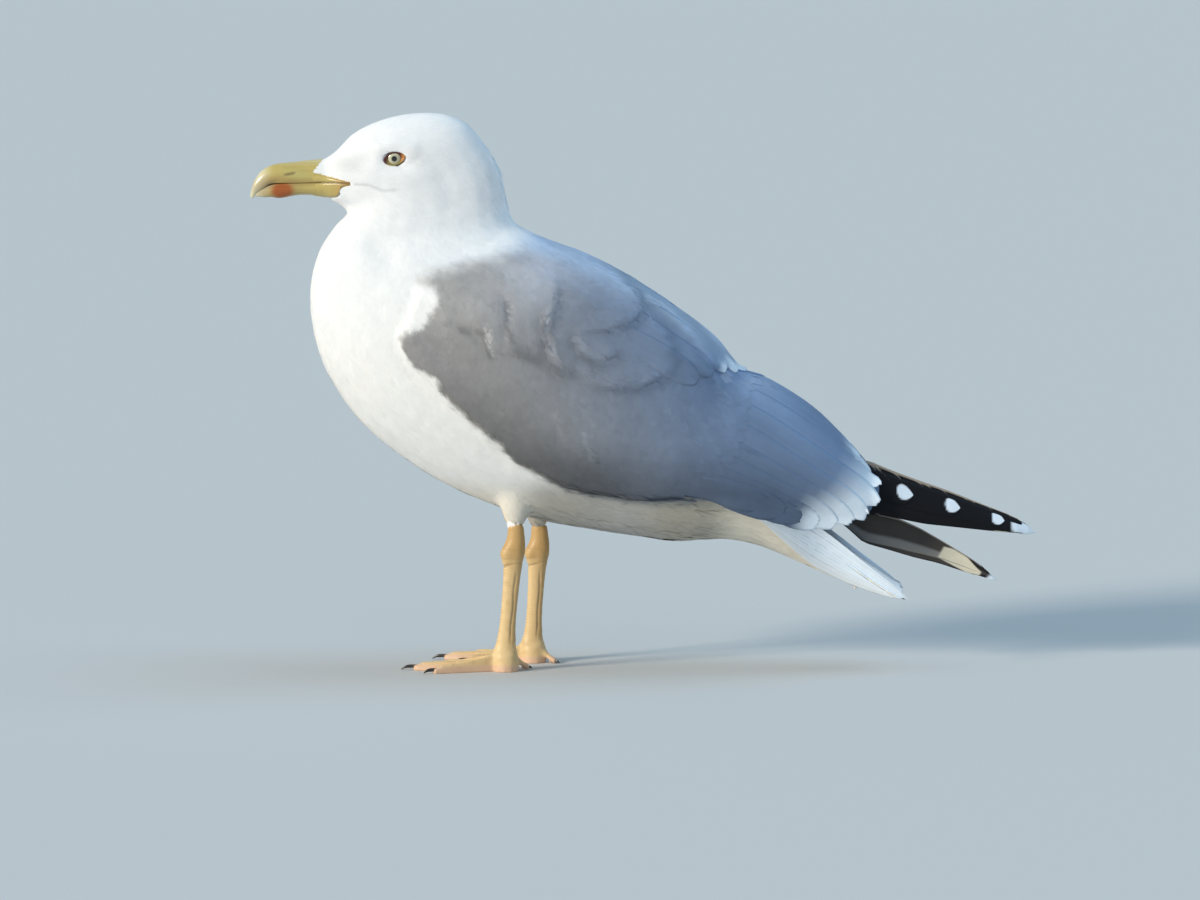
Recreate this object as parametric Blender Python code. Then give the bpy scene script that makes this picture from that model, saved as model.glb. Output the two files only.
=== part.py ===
"""Yellow-legged gull standing at rest, life size, as a still museum model.

The bird faces -X, its left side is at -Y and it stands on Z = 0. Sizes below are in millimetres and are
turned into metres when a mesh is made. The body is a loft of upright cross-sections that fan round the
bend of the neck; thin flat gaps part it into head, neck, breast, belly and rump. The folded wings are
the space between that body and the fuller outline that they give it.
"""

import math
from dataclasses import dataclass

import bmesh
import bpy
import numpy as np
from mathutils import Matrix, Vector

MM = 0.001
CLEARANCE = 0.3
CUTTER_GROWTH = 0.35
COLLECTION = "yellow_legged_gull"
CUTTERS = "cutters"
SIDES = {"left": -1, "right": 1}

BODY_SIDES = 24
SPANS_PER_STATION = 2
BILL_SIDES = 12
LEG_SIDES = 10
CLAW_SIDES = 6
BLADE_SIDES = 8
EDGE_ANGLE = 35.0
ROUND_ANGLE = 60.0
# The share of the folded wing's thickness by which it lifts the line of the back.
COVER_ON_BACK = 0.6

EYE_CENTRE = (-160.9, 13.9, 333.8)
EYE_RADIUS = 7.8
LID_OPENING = (6.6, 4.5)
LID_DEPTH = 30.0
EYE_SEGMENTS = 12
LID_SEGMENTS = 16

WING_REACH = 90.0
WING_SHEET = 3.5
HOLLOW_DROP = 40.0

TAIL_FEATHERS = 6
TAIL_TIP_WAVE = 1.6
TAIL_CORNER = 4.8

FOOT_TOP = 12.6
WEB_THICKNESS = 1.7
TOE_SPREAD = 21.0
TOE_HALF_WIDTH = 3.3
TOE_HEIGHTS = (8.0, 5.2)
HEEL_RADIUS = 8.5
JOINT_SHIFT = 1.0
# The block under the leg: its half length and half width at full height, and how steeply it falls off.
ANKLE_BLOCK = (9.0, 6.2)
ANKLE_FALL = 1.1
FOOT_STEPS = 9
FOOT_EDGE = 0.55
FRONT_RAYS = 19
HEEL_RAYS = 9
RAY_MARGIN = 5.0
RAY_SLACK = 1e-4
TOE_TIP_TAPER = 0.6
WEB_INSET = 3.0
WEB_HOLLOW = 0.5


@dataclass(frozen=True)
class Station:
    """A cross-section: top and bottom points (x, z), half width, and where and how round it is widest."""

    top: tuple
    bottom: tuple
    half_width: float
    widest: float = 0.0
    upper: float = 2.1
    lower: float = 2.1
    cover: float = 0.0
    top_y: float = 0.0
    bottom_y: float = 0.0

    def row(self):
        """The station as one row of numbers, so that rows can be blended."""
        sizes = (self.half_width, self.widest, self.upper, self.lower, self.cover)
        ends = (self.top[0], self.top_y, self.top[1], self.bottom[0], self.bottom_y, self.bottom[1])
        return np.array(ends + sizes)


# Head and trunk, from the base of the bill to the middle of the back. The cover is how thick the folded
# wing lies over the flesh there.
HEAD = [
    Station((-206.0, 331.1), (-206.0, 306.5), 8.6, -0.15),
    Station((-198.0, 336.7), (-202.0, 304.1), 11.4, -0.1),
    Station((-189.5, 345.9), (-198.5, 302.4), 14.6, -0.1),
    Station((-178.0, 352.7), (-195.6, 300.7), 17.4, -0.1),
    Station((-164.0, 357.7), (-193.4, 298.9), 19.8, -0.1),
    Station((-148.0, 360.5), (-192.0, 297.5), 21.6, -0.1),
    Station((-130.0, 360.0), (-191.2, 296.4), 22.9, -0.1),
    Station((-114.0, 353.4), (-191.0, 295.3), 24.0, -0.1),
    Station((-101.5, 337.7), (-192.6, 293.7), 24.9, -0.1),
]
NECK = [
    Station((-93.3, 323.1), (-196.4, 291.4), 25.9, -0.1),
    Station((-90.0, 308.5), (-203.0, 283.4), 27.4, -0.1),
    Station((-87.6, 296.5), (-209.5, 272.4), 30.2, -0.08),
    Station((-84.0, 289.7), (-214.0, 259.3), 34.6, -0.05, cover=0.2),
]
BREAST = [
    Station((-79.0, 286.4), (-216.2, 244.2), 40.0, 0.0, cover=1.2),
    Station((-72.5, 283.1), (-215.3, 227.1), 46.0, 0.0, cover=2.4),
    Station((-65.0, 280.0), (-210.5, 205.0), 52.0, 0.0, cover=3.4),
    Station((-56.0, 276.6), (-201.0, 184.9), 57.5, 0.0, cover=4.4),
]
BELLY = [
    Station((-45.0, 272.9), (-184.0, 160.8), 62.5, 0.0, cover=5.4),
    Station((-31.0, 266.8), (-160.0, 140.2), 66.0, 0.0, cover=6.2),
    Station((-14.0, 258.1), (-132.0, 121.6), 67.5, 0.0, cover=6.8),
    Station((6.0, 245.7), (-102.0, 108.0), 67.0, 0.0, cover=7.0),
    Station((28.0, 230.1), (-70.0, 97.0), 64.5, 0.0, cover=7.0),
    Station((48.0, 213.1), (-38.0, 91.0), 60.5, 0.0, cover=7.0),
]
# The rump, hidden under the wings, with the undertail coverts that show behind the belly.
RUMP = [
    Station((60.0, 184.9), (-5.0, 85.9), 49.0),
    Station((75.0, 160.8), (25.0, 82.9), 42.0),
    Station((87.0, 137.7), (52.0, 84.4), 35.0),
    Station((97.0, 116.6), (76.0, 79.7), 28.0),
    Station((108.0, 98.5), (100.0, 69.6), 21.0),
    Station((122.0, 82.4), (122.0, 60.0), 14.5),
    Station((139.0, 64.3), (141.0, 52.3), 7.5),
]
# The outer form of the folded wings behind the scapulars.
FOLDED = [
    Station((60.5, 196.3), (-18.0, 87.9), 58.0),
    Station((77.0, 190.9), (5.0, 84.4), 54.5),
    Station((96.0, 179.5), (35.0, 82.4), 49.0),
    Station((113.0, 166.8), (62.0, 82.4), 44.0),
    Station((127.0, 152.6), (85.0, 83.4), 39.0),
    Station((138.0, 141.2), (108.0, 82.4), 34.5),
    Station((150.0, 126.6), (130.0, 80.4), 30.5),
    Station((160.0, 112.6), (150.0, 78.4), 27.0),
]
HOLLOW_FROM = 2

# The folded wing seen from the side, from the bend round its lower edge, the tips of the secondaries
# and tertials, and back over the mantle.
WING_OUTLINE = [
    (-157.5, 219.1), (-153.0, 209.5), (-146.5, 201.0), (-136.0, 192.5), (-123.5, 176.9), (-109.0, 163.8),
    (-96.5, 152.3), (-85.0, 140.2), (-66.0, 128.6), (-52.0, 122.4), (-38.0, 118.1), (-6.0, 112.9),
    (36.0, 112.4), (62.0, 110.0), (84.0, 103.0), (101.0, 94.7), (112.0, 91.3), (121.0, 91.5),
    (129.0, 96.1), (137.0, 98.7), (144.0, 102.0), (148.0, 106.5), (148.0, 111.4), (152.5, 113.8),
    (153.8, 119.1), (149.0, 126.6), (143.0, 134.7), (136.5, 143.2), (128.0, 160.8), (100.0, 190.9),
    (62.0, 213.1), (20.0, 251.2), (-30.0, 281.4), (-78.0, 292.5), (-97.0, 277.4), (-114.0, 269.8),
    (-132.0, 263.8), (-143.0, 256.8), (-146.0, 245.2), (-151.0, 232.2),
]

TAIL = [
    # x, height at the middle, half width, droop at the edges, thickness
    (100.0, 103.5, 15.0, 4.0, 3.0),
    (112.0, 94.7, 18.0, 6.0, 3.0),
    (122.0, 86.2, 20.5, 7.5, 2.8),
    (133.0, 77.6, 23.0, 8.5, 2.6),
    (144.0, 69.5, 25.5, 8.5, 2.4),
    (154.0, 62.7, 27.5, 8.0, 2.2),
    (162.0, 57.1, 29.0, 7.5, 2.0),
    (166.0, 54.3, 29.0, 7.0, 1.6),
]

BILL_UPPER = [
    Station((-206.3, 331.0), (-206.3, 314.8), 8.4, -0.5, 2.0, 3.6),
    Station((-216.0, 330.8), (-216.0, 314.4), 7.6, -0.5, 2.0, 3.6),
    Station((-226.0, 329.9), (-226.0, 314.2), 6.7, -0.5, 2.0, 3.6),
    Station((-235.5, 328.7), (-235.0, 314.1), 5.8, -0.45, 2.0, 3.4),
    Station((-242.5, 326.5), (-241.5, 313.5), 4.9, -0.4, 2.0, 3.0),
    Station((-248.0, 322.8), (-246.2, 311.8), 4.0, -0.3, 2.0, 2.6),
    Station((-251.8, 317.8), (-249.3, 309.7), 3.1, -0.2, 2.0, 2.2),
    Station((-253.9, 312.6), (-251.4, 307.8), 2.2, 0.0, 2.0, 2.0),
    Station((-254.8, 307.1), (-253.4, 305.5), 0.9, 0.0, 2.0, 2.0),
]
BILL_LOWER = [
    Station((-206.3, 314.2), (-206.3, 306.5), 8.0, 0.4, 3.4, 2.0),
    Station((-216.0, 313.9), (-216.0, 307.7), 7.2, 0.4, 3.4, 2.0),
    Station((-226.0, 313.7), (-226.0, 307.4), 6.3, 0.4, 3.4, 2.0),
    Station((-235.5, 313.6), (-235.5, 305.3), 5.2, 0.4, 3.0, 2.0),
    Station((-241.0, 312.9), (-241.0, 306.5), 4.2, 0.3, 2.6, 2.0),
    Station((-246.0, 311.1), (-246.0, 307.3), 3.0, 0.1, 2.2, 2.0),
    Station((-249.3, 309.1), (-249.1, 307.9), 1.4),
]

# The two folded wing tips. Each is a thin blade of stacked primaries that slopes like one side of a roof.
WING_TIPS = {
    "left": [
        Station((114.0, 127.6), (112.0, 110.5), 1.8, top_y=-5.0, bottom_y=-13.0),
        Station((125.0, 133.2), (124.0, 104.5), 1.9, top_y=-4.5, bottom_y=-15.0),
        Station((137.0, 134.7), (138.0, 100.5), 1.9, top_y=-4.0, bottom_y=-16.0),
        Station((147.0, 133.0), (152.0, 101.1), 1.8, top_y=-3.5, bottom_y=-16.0),
        Station((160.0, 127.6), (165.0, 98.5), 1.7, top_y=-3.0, bottom_y=-15.0),
        Station((177.0, 121.3), (182.0, 94.8), 1.6, top_y=-2.0, bottom_y=-13.0),
        Station((198.0, 114.2), (202.0, 92.5), 1.5, top_y=-1.0, bottom_y=-11.0),
        Station((221.0, 105.3), (224.0, 89.8), 1.3, top_y=0.0, bottom_y=-8.0),
        Station((241.0, 97.7), (243.0, 87.8), 1.1, top_y=1.0, bottom_y=-4.0),
        Station((251.0, 92.1), (250.0, 86.3), 0.9, top_y=1.5, bottom_y=-1.0),
        Station((254.8, 87.3), (254.3, 85.6), 0.5, top_y=1.5, bottom_y=1.0),
    ],
    "right": [
        Station((116.0, 118.6), (113.0, 106.5), 1.6, top_y=8.0, bottom_y=15.0),
        Station((126.0, 112.6), (122.0, 97.5), 1.6, top_y=7.0, bottom_y=17.0),
        Station((137.0, 104.5), (133.0, 88.9), 1.6, top_y=6.0, bottom_y=18.0),
        Station((150.0, 98.5), (144.0, 79.0), 1.5, top_y=5.5, bottom_y=18.0),
        Station((166.0, 95.1), (160.0, 74.6), 1.4, top_y=5.0, bottom_y=17.0),
        Station((180.0, 89.0), (176.0, 69.9), 1.3, top_y=5.0, bottom_y=16.0),
        Station((196.0, 80.0), (192.0, 66.3), 1.2, top_y=5.5, bottom_y=14.0),
        Station((211.0, 71.0), (208.0, 61.2), 1.1, top_y=6.0, bottom_y=12.0),
        Station((223.0, 63.3), (221.0, 57.2), 0.9, top_y=7.0, bottom_y=10.0),
        Station((230.6, 55.5), (229.8, 54.5), 0.5, top_y=8.5, bottom_y=9.0),
    ],
}

# Leg profile: height, front and rear edge about the leg's axis, half width. The heights are those of
# the left leg, whose ankle stands a little higher than the right one's.
LEG_PROFILE = [
    (13.0, -8.6, 7.4, 5.4),
    (16.5, -7.4, 6.6, 4.8),
    (21.0, -6.0, 5.8, 4.0),
    (28.0, -5.4, 5.0, 3.5),
    (38.0, -5.0, 4.8, 3.2),
    (52.0, -5.2, 5.2, 3.2),
    (64.0, -5.5, 5.6, 3.5),
    (71.0, -6.5, 6.6, 4.6),
    (78.0, -8.2, 8.0, 5.6),
    (83.0, -6.8, 7.4, 5.0),
    (88.0, -5.4, 6.4, 4.4),
    (95.5, -4.9, 5.0, 4.2),
]
THIGH_PROFILE = [
    (95.9, -5.6, 4.6, 4.9),
    (100.0, -7.6, 6.4, 6.6),
    (106.0, -10.5, 9.5, 9.5),
    (116.0, -15.0, 15.0, 13.0),
    (128.0, -18.0, 18.0, 15.0),
]


@dataclass(frozen=True)
class Limb:
    """Where one leg stands: its axis at the floor, its lean, its height and the turn of its foot."""

    x: float
    y: float
    lean: float
    height: float
    foot_turn: float


LIMBS = {
    "left": Limb(x=-90.6, y=-23.0, lean=0.083, height=1.0, foot_turn=4.0),
    "right": Limb(x=-73.0, y=21.0, lean=0.055, height=0.94, foot_turn=12.0),
}
# Front toes: degrees out from the foot's own axis, and length to the root of the claw.
TOES = {"outer": (-TOE_SPREAD, 49.0), "middle": (0.0, 60.0), "inner": (TOE_SPREAD, 46.0)}
CLAW_LENGTHS = {"outer": 7.0, "middle": 8.8, "inner": 7.0}
CLAW_RADIUS = 1.9
CLAW_ROOT_HEIGHT = 2.6
CLAW_STEPS = (0.0, 0.3, 0.6, 0.85, 1.0)
CLAW_TAPER = 0.85
CLAW_FLATNESS = 0.8
# The small hind toe, which comes down to the floor behind the heel.
HIND_TOE_TURN = 0.5
HIND_TOE_LENGTH = 7.5
HIND_TOE_RADIUS = 2.5
HIND_TOE_HEIGHT = 4.5
HIND_TOE_TAPER = 0.3
HIND_TOE_SINK = 0.8
HIND_TOE_STEPS = (0.0, 0.35, 0.7, 1.0)
HIND_CLAW_LENGTH = 3.6

COLOURS = {
    # base colour, roughness
    "white feather": ((0.86, 0.86, 0.84), 0.85),
    "grey feather": ((0.31, 0.34, 0.39), 0.8),
    "black feather": ((0.012, 0.012, 0.014), 0.6),
    "yellow bill": ((0.72, 0.56, 0.12), 0.35),
    "pale iris": ((0.78, 0.72, 0.42), 0.12),
    "yellow skin": ((0.75, 0.47, 0.13), 0.5),
    "dark claw": ((0.03, 0.025, 0.02), 0.4),
}


def clear_scene():
    """Removes what the scene starts with."""
    for obj in list(bpy.data.objects):
        bpy.data.objects.remove(obj, do_unlink=True)


def collection(name):
    """A new collection in the scene."""
    made = bpy.data.collections.new(name)
    bpy.context.scene.collection.children.link(made)
    return made


def material(name):
    """The Principled material of one kind of surface, made once."""
    found = bpy.data.materials.get(name)
    if found:
        return found
    colour, roughness = COLOURS[name]
    made = bpy.data.materials.new(name)
    made.use_nodes = True
    shader = made.node_tree.nodes["Principled BSDF"]
    shader.inputs["Base Color"].default_value = (*colour, 1.0)
    shader.inputs["Roughness"].default_value = roughness
    shader.inputs["Metallic"].default_value = 0.0
    return made


def part(name, shape, finish, smooth_angle=EDGE_ANGLE):
    """A bmesh in millimetres as one named object of the bird."""
    bmesh.ops.recalc_face_normals(shape, faces=shape.faces)
    bmesh.ops.scale(shape, vec=(MM, MM, MM), verts=shape.verts)
    mesh = bpy.data.meshes.new(name)
    shape.to_mesh(mesh)
    shape.free()
    mesh.shade_smooth()
    mesh.set_sharp_from_angle(angle=math.radians(smooth_angle))
    mesh.materials.append(material(finish))
    made = bpy.data.objects.new(name, mesh)
    bpy.data.collections[COLLECTION].objects.link(made)
    return made


def cutter(name, shape):
    """A bmesh in millimetres as a hidden solid that Booleans use."""
    made = part(name, shape, "white feather")
    bpy.data.collections[COLLECTION].objects.unlink(made)
    bpy.data.collections[CUTTERS].objects.link(made)
    made.hide_render = True
    made.display_type = "WIRE"
    return made


def boolean(obj, operation, other):
    """A live Boolean modifier."""
    modifier = obj.modifiers.new(f"{operation.lower()} {other.name}", "BOOLEAN")
    modifier.operation = operation
    modifier.solver = "EXACT"
    modifier.object = other


def blended(rows, spans):
    """Rows of numbers with more rows between them, on a smooth curve through the given ones."""
    rows = np.array(rows, float)
    ends = np.vstack([2 * rows[0] - rows[1], rows, 2 * rows[-1] - rows[-2]])
    made = []
    for i in range(1, len(ends) - 2):
        before, start, end, after = ends[i - 1 : i + 3]
        for t in np.arange(spans) / spans:
            made.append(
                start
                + 0.5 * t * (end - before)
                + t * t * (before - 2.5 * start + 2 * end - 0.5 * after)
                + t**3 * (1.5 * start - 1.5 * end + 0.5 * (after - before))
            )
    return np.array(made + [rows[-1]])


def section(row, sides, grow=0.0, flesh=False):
    """The ring of points of one cross-section.

    With flesh set, the thickness of the wing that covers it is taken off, and grow adds to it all round.
    """
    top, bottom = Vector(row[0:3]), Vector(row[3:6])
    half_width, widest, upper, lower, cover = row[6:11]
    up = (top - bottom).normalized()
    across = Vector((0, 1, 0))
    across = (across - up * across.dot(up)).normalized()
    inset = cover if flesh else 0.0
    half_height = (top - bottom).length / 2
    middle = (top + bottom) / 2 + up * widest * half_height
    above = half_height * (1 - widest) - COVER_ON_BACK * inset + grow
    below = half_height * (1 + widest) + grow
    half_width = half_width - inset + grow
    ring = []
    for turn in np.arange(sides) * math.tau / sides:
        c, s = math.cos(turn), math.sin(turn)
        power, reach = (2 / upper, above) if s >= 0 else (2 / lower, below)
        y = half_width * math.copysign(abs(c) ** power, c)
        z = reach * math.copysign(abs(s) ** power, s)
        ring.append(middle + across * y + up * z)
    return ring


def shifted(ring, distance):
    """The ring moved along the normal of its own plane, towards the tail end when distance is positive."""
    normal = (ring[0] - ring[len(ring) // 2]).cross(ring[len(ring) // 4] - ring[3 * len(ring) // 4])
    return [point + normal.normalized() * distance for point in ring]


def loft(rings):
    """A closed bmesh through rings of equal count, with a flat face at each end."""
    shape = bmesh.new()
    loops = [[shape.verts.new(point) for point in ring] for ring in rings]
    count = len(loops[0])
    for first, second in zip(loops, loops[1:]):
        for i in range(count):
            j = (i + 1) % count
            shape.faces.new((first[i], first[j], second[j], second[i]))
    shape.faces.new(loops[0])
    shape.faces.new(reversed(loops[-1]))
    return shape


def prism(outline, near, far):
    """A closed bmesh: an outline of (x, z) points carried from y = near to y = far."""
    shape = bmesh.new()
    face = shape.faces.new([shape.verts.new((x, near, z)) for x, z in outline])
    grown = bmesh.ops.extrude_face_region(shape, geom=[face])
    moved = [item for item in grown["geom"] if isinstance(item, bmesh.types.BMVert)]
    bmesh.ops.translate(shape, vec=(0, far - near, 0), verts=moved)
    return shape


def sphere(centre, radius):
    """A closed sphere with its poles along Y, so that the pupil is a pole."""
    shape = bmesh.new()
    bmesh.ops.create_uvsphere(
        shape, u_segments=EYE_SEGMENTS, v_segments=EYE_SEGMENTS // 2, radius=radius
    )
    bmesh.ops.rotate(shape, verts=shape.verts, matrix=quarter_turn())
    bmesh.ops.translate(shape, vec=centre, verts=shape.verts)
    return shape


def quarter_turn():
    """A turn of 90 degrees about X."""
    return Matrix.Rotation(math.pi / 2, 3, "X")


def flesh_rings(first, last, grow=0.0):
    """Rings of the flesh between two stations of the whole trunk."""
    stations = HEAD + NECK + BREAST + BELLY + RUMP
    rows = blended([station.row() for station in stations], SPANS_PER_STATION)
    chosen = rows[first * SPANS_PER_STATION : last * SPANS_PER_STATION + 1]
    return [section(row, BODY_SIDES, grow, flesh=True) for row in chosen]


def build_trunk():
    """Head, neck, breast, belly and rump, with a flat gap between each two."""
    groups = {"head": HEAD, "neck": NECK, "breast": BREAST, "belly": BELLY, "rump": RUMP}
    start = 0
    made = {}
    for name, stations in groups.items():
        stop = start + len(stations) - (name == "rump")
        rings = flesh_rings(start, stop)
        rings[0] = shifted(rings[0], CLEARANCE / 2)
        rings[-1] = shifted(rings[-1], -CLEARANCE / 2)
        made[name] = part(name, loft(rings), "white feather")
        start = stop
    return made


def build_trunk_cutter():
    """The whole flesh, a little fuller, that wings, tail and thighs are cut back from."""
    count = len(HEAD + NECK + BREAST + BELLY + RUMP)
    return cutter("trunk_cutter", loft(flesh_rings(0, count - 1, CUTTER_GROWTH)))


def build_eyes(head):
    """Two eyeballs in their sockets, each behind an oval opening of the lids."""
    x, y, z = EYE_CENTRE
    for side, sign in SIDES.items():
        centre = (x, sign * y, z)
        socket = cutter(f"socket_{side}", sphere(centre, EYE_RADIUS + CLEARANCE))
        boolean(head, "DIFFERENCE", socket)
        shape = bmesh.new()
        bmesh.ops.create_cone(
            shape, cap_ends=True, segments=LID_SEGMENTS, radius1=1.0, radius2=1.0, depth=LID_DEPTH
        )
        bmesh.ops.rotate(shape, verts=shape.verts, matrix=quarter_turn())
        bmesh.ops.scale(shape, vec=(LID_OPENING[0], 1.0, LID_OPENING[1]), verts=shape.verts)
        bmesh.ops.translate(shape, vec=(x, sign * (y + LID_DEPTH / 2), z), verts=shape.verts)
        boolean(head, "DIFFERENCE", cutter(f"lid_opening_{side}", shape))
        part(f"eye_{side}", sphere(centre, EYE_RADIUS), "pale iris", ROUND_ANGLE)


def build_bill():
    """The hooked upper mandible and the lower one with its angle, parted along the mouth."""
    for name, stations in {"bill_upper": BILL_UPPER, "bill_lower": BILL_LOWER}.items():
        rows = blended([station.row() for station in stations], SPANS_PER_STATION)
        part(name, loft([section(row, BILL_SIDES) for row in rows]), "yellow bill", ROUND_ANGLE)


def build_wings(trunk_cutter):
    """The folded wings: the outer form within the wing's outline, less the trunk and the hollow behind."""
    front = [station.row() for station in HEAD + NECK + BREAST + BELLY]
    rows = blended(front + [station.row() for station in FOLDED], SPANS_PER_STATION)
    rows = rows[len(HEAD) * SPANS_PER_STATION :]
    form = cutter("wing_form", loft([section(row, BODY_SIDES) for row in rows]))
    hollow = cutter("wing_hollow", loft(hollow_rings()))
    for side, sign in SIDES.items():
        shape = prism(WING_OUTLINE, sign * CLEARANCE / 2, sign * WING_REACH)
        wing = part(f"wing_{side}", shape, "grey feather")
        boolean(wing, "INTERSECT", form)
        boolean(wing, "DIFFERENCE", trunk_cutter)
        boolean(wing, "DIFFERENCE", hollow)
        slot = cutter(f"wing_slot_{side}", wing_tip_loft(WING_TIPS[side], CUTTER_GROWTH))
        boolean(wing, "DIFFERENCE", slot)


def hollow_rings():
    """Rings of the space under the tertials, open below and behind, where the wing tips and tail lie."""
    rings = []
    for station in FOLDED[HOLLOW_FROM:]:
        top, bottom = Vector(station.top), Vector(station.bottom)
        down = (bottom - top).normalized()
        inner = Station(
            tuple(top + down * WING_SHEET),
            tuple(bottom + down * HOLLOW_DROP),
            station.half_width - WING_SHEET,
        )
        rings.append(section(inner.row(), BODY_SIDES))
    beyond = Vector((HOLLOW_DROP, 0.0, -HOLLOW_DROP / 2))
    rings.append([point + beyond for point in rings[-1]])
    return rings


def wing_tip_loft(stations, grow=0.0):
    """The blade of one folded wing tip, or a fuller one that makes room for it."""
    return loft([section(station.row(), BLADE_SIDES, grow) for station in stations])


def build_wing_tips():
    """The folded primaries that stand out behind the tertials."""
    for side, stations in WING_TIPS.items():
        part(f"wing_tip_{side}", wing_tip_loft(stations), "black feather")


def build_tail(trunk_cutter):
    """The closed tail: a thin sheet with drooping edges and a wavy end of feather tips."""
    across = np.linspace(-1, 1, 2 * TAIL_FEATHERS + 1)
    rings = []
    for row in TAIL:
        x, height, half_width, droop, thickness = row
        upper = []
        for i, side in enumerate(across):
            end = 0.0
            if row is TAIL[-1]:
                end = TAIL_CORNER if abs(side) == 1 else TAIL_TIP_WAVE * (i % 2)
            upper.append(Vector((x + end, half_width * side, height - droop * side * side)))
        lower = [point - Vector((0, 0, thickness)) for point in reversed(upper)]
        rings.append(upper + lower)
    tail = part("tail", loft(rings), "white feather")
    boolean(tail, "DIFFERENCE", trunk_cutter)


def limb_ring(limb, height, front, rear, half_width):
    """A level ring round a leg, at its own height and lean."""
    z = height * limb.height
    x = limb.x + z * limb.lean
    station = Station((x + front, z), (x + rear, z), half_width, top_y=limb.y, bottom_y=limb.y)
    return section(station.row(), LEG_SIDES)


def build_leg(side, limb, trunk_cutter):
    """A bare leg and the feathered thigh above it."""
    foot_joint = ((FOOT_TOP + CLEARANCE) / limb.height, *LEG_PROFILE[0][1:])
    rings = [limb_ring(limb, *row) for row in [foot_joint] + LEG_PROFILE[1:]]
    part(f"leg_{side}", loft(rings), "yellow skin", ROUND_ANGLE)
    rings = [limb_ring(limb, *row) for row in THIGH_PROFILE]
    thigh = part(f"thigh_{side}", loft(rings), "white feather", ROUND_ANGLE)
    boolean(thigh, "DIFFERENCE", trunk_cutter)


def toe_points(limb, sign):
    """Each front toe's direction and length in the floor's plane."""
    for name, (spread, length) in TOES.items():
        turn = math.radians(limb.foot_turn * (1 if sign < 0 else -1) + spread)
        yield name, Vector((-math.cos(turn), -sign * math.sin(turn), 0)), length


def foot_height(point, toes):
    """How high the foot's skin is over one point of the floor, measured from the foot's joint."""
    height = WEB_THICKNESS
    for direction, length in toes:
        along = min(max(point.dot(direction), 0.0), length)
        off = (point - direction * along).length / TOE_HALF_WIDTH
        ridge = TOE_HEIGHTS[0] + (TOE_HEIGHTS[1] - TOE_HEIGHTS[0]) * along / length
        if off < 1:
            height = max(height, WEB_THICKNESS + (ridge - WEB_THICKNESS) * math.sqrt(1 - off * off))
    block = math.hypot(point.x / ANKLE_BLOCK[0], point.y / ANKLE_BLOCK[1])
    return max(height, FOOT_TOP * min(1.0, 1.0 + ANKLE_FALL * (1.0 - block)))


def build_foot(side, sign, limb):
    """A webbed foot on a flat sole: three toes, the webs between them and the block under the leg."""
    toes = [(direction, length) for _, direction, length in toe_points(limb, sign)]
    joint = Vector((limb.x + JOINT_SHIFT, limb.y, 0))
    shape = bmesh.new()
    rows = []
    for angle in foot_angles(limb, sign):
        direction = Vector((-math.cos(angle), -sign * math.sin(angle), 0))
        reach = foot_reach(direction, toes)
        row = []
        for k in range(1, FOOT_STEPS + 1):
            point = direction * reach * k / FOOT_STEPS
            height = foot_height(point, toes) * (1.0 if k < FOOT_STEPS else FOOT_EDGE)
            row.append(shape.verts.new(joint + point + Vector((0, 0, height))))
        row.append(shape.verts.new(joint + direction * reach))
        rows.append(row)
    top = shape.verts.new(joint + Vector((0, 0, FOOT_TOP)))
    for first, second in zip(rows, rows[1:] + rows[:1]):
        shape.faces.new((top, first[0], second[0]))
        for k in range(FOOT_STEPS):
            shape.faces.new((first[k], first[k + 1], second[k + 1], second[k]))
    shape.faces.new([row[-1] for row in reversed(rows)])
    part(f"foot_{side}", shape, "yellow skin", ROUND_ANGLE)


def foot_angles(limb, sign):
    """The directions in which a foot's mesh runs out from its joint, closest together across the toes."""
    turn = math.radians(limb.foot_turn * (1 if sign < 0 else -1))
    edge = math.radians(TOE_SPREAD + RAY_MARGIN)
    front = np.linspace(-edge, edge, FRONT_RAYS)
    back = np.linspace(edge, math.tau - edge, HEEL_RAYS + 2)[1:-1]
    return [turn + angle for angle in np.concatenate([front, back])]


def foot_reach(direction, toes):
    """How far the foot reaches from its joint in one direction, with hollow edges between toes."""
    reach = HEEL_RADIUS
    for toe, length in toes:
        off = direction.angle(toe)
        side = length * math.sin(off)
        if side < TOE_HALF_WIDTH and off < 1:
            reach = max(reach, length * math.cos(off) - TOE_TIP_TAPER * side)
    for (first, first_length), (second, second_length) in zip(toes, toes[1:]):
        spread = first.angle(second)
        from_first, from_second = direction.angle(first), direction.angle(second)
        if from_first + from_second < spread + RAY_SLACK:
            share = from_first / spread
            length = first_length * (1 - share) + second_length * share
            reach = max(reach, (length - WEB_INSET) * (1 - WEB_HOLLOW * share * (1 - share)))
    return reach


def round_ring(middle, direction, half_width, half_height):
    """An upright oval ring across a direction in the floor's plane, flattened where it meets the floor."""
    across = Vector((-direction.y, direction.x, 0)) * half_width
    ring = []
    for turn in np.arange(CLAW_SIDES) * math.tau / CLAW_SIDES:
        point = middle + across * math.cos(turn) + Vector((0, 0, half_height * math.sin(turn)))
        point.z = max(point.z, 0.0)
        ring.append(point)
    return ring


def claw_rings(root, direction, length, radius, height, floor_gap):
    """Rings of a claw that runs out from its root and bends down to a point just over the floor."""
    rings = []
    for t in CLAW_STEPS:
        width = radius * (1 - CLAW_TAPER * t)
        middle = root + direction * length * t
        middle.z = floor_gap + width + (height - width) * (1 - t * t)
        rings.append(round_ring(middle, direction, width * CLAW_FLATNESS, width))
    return rings


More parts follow.
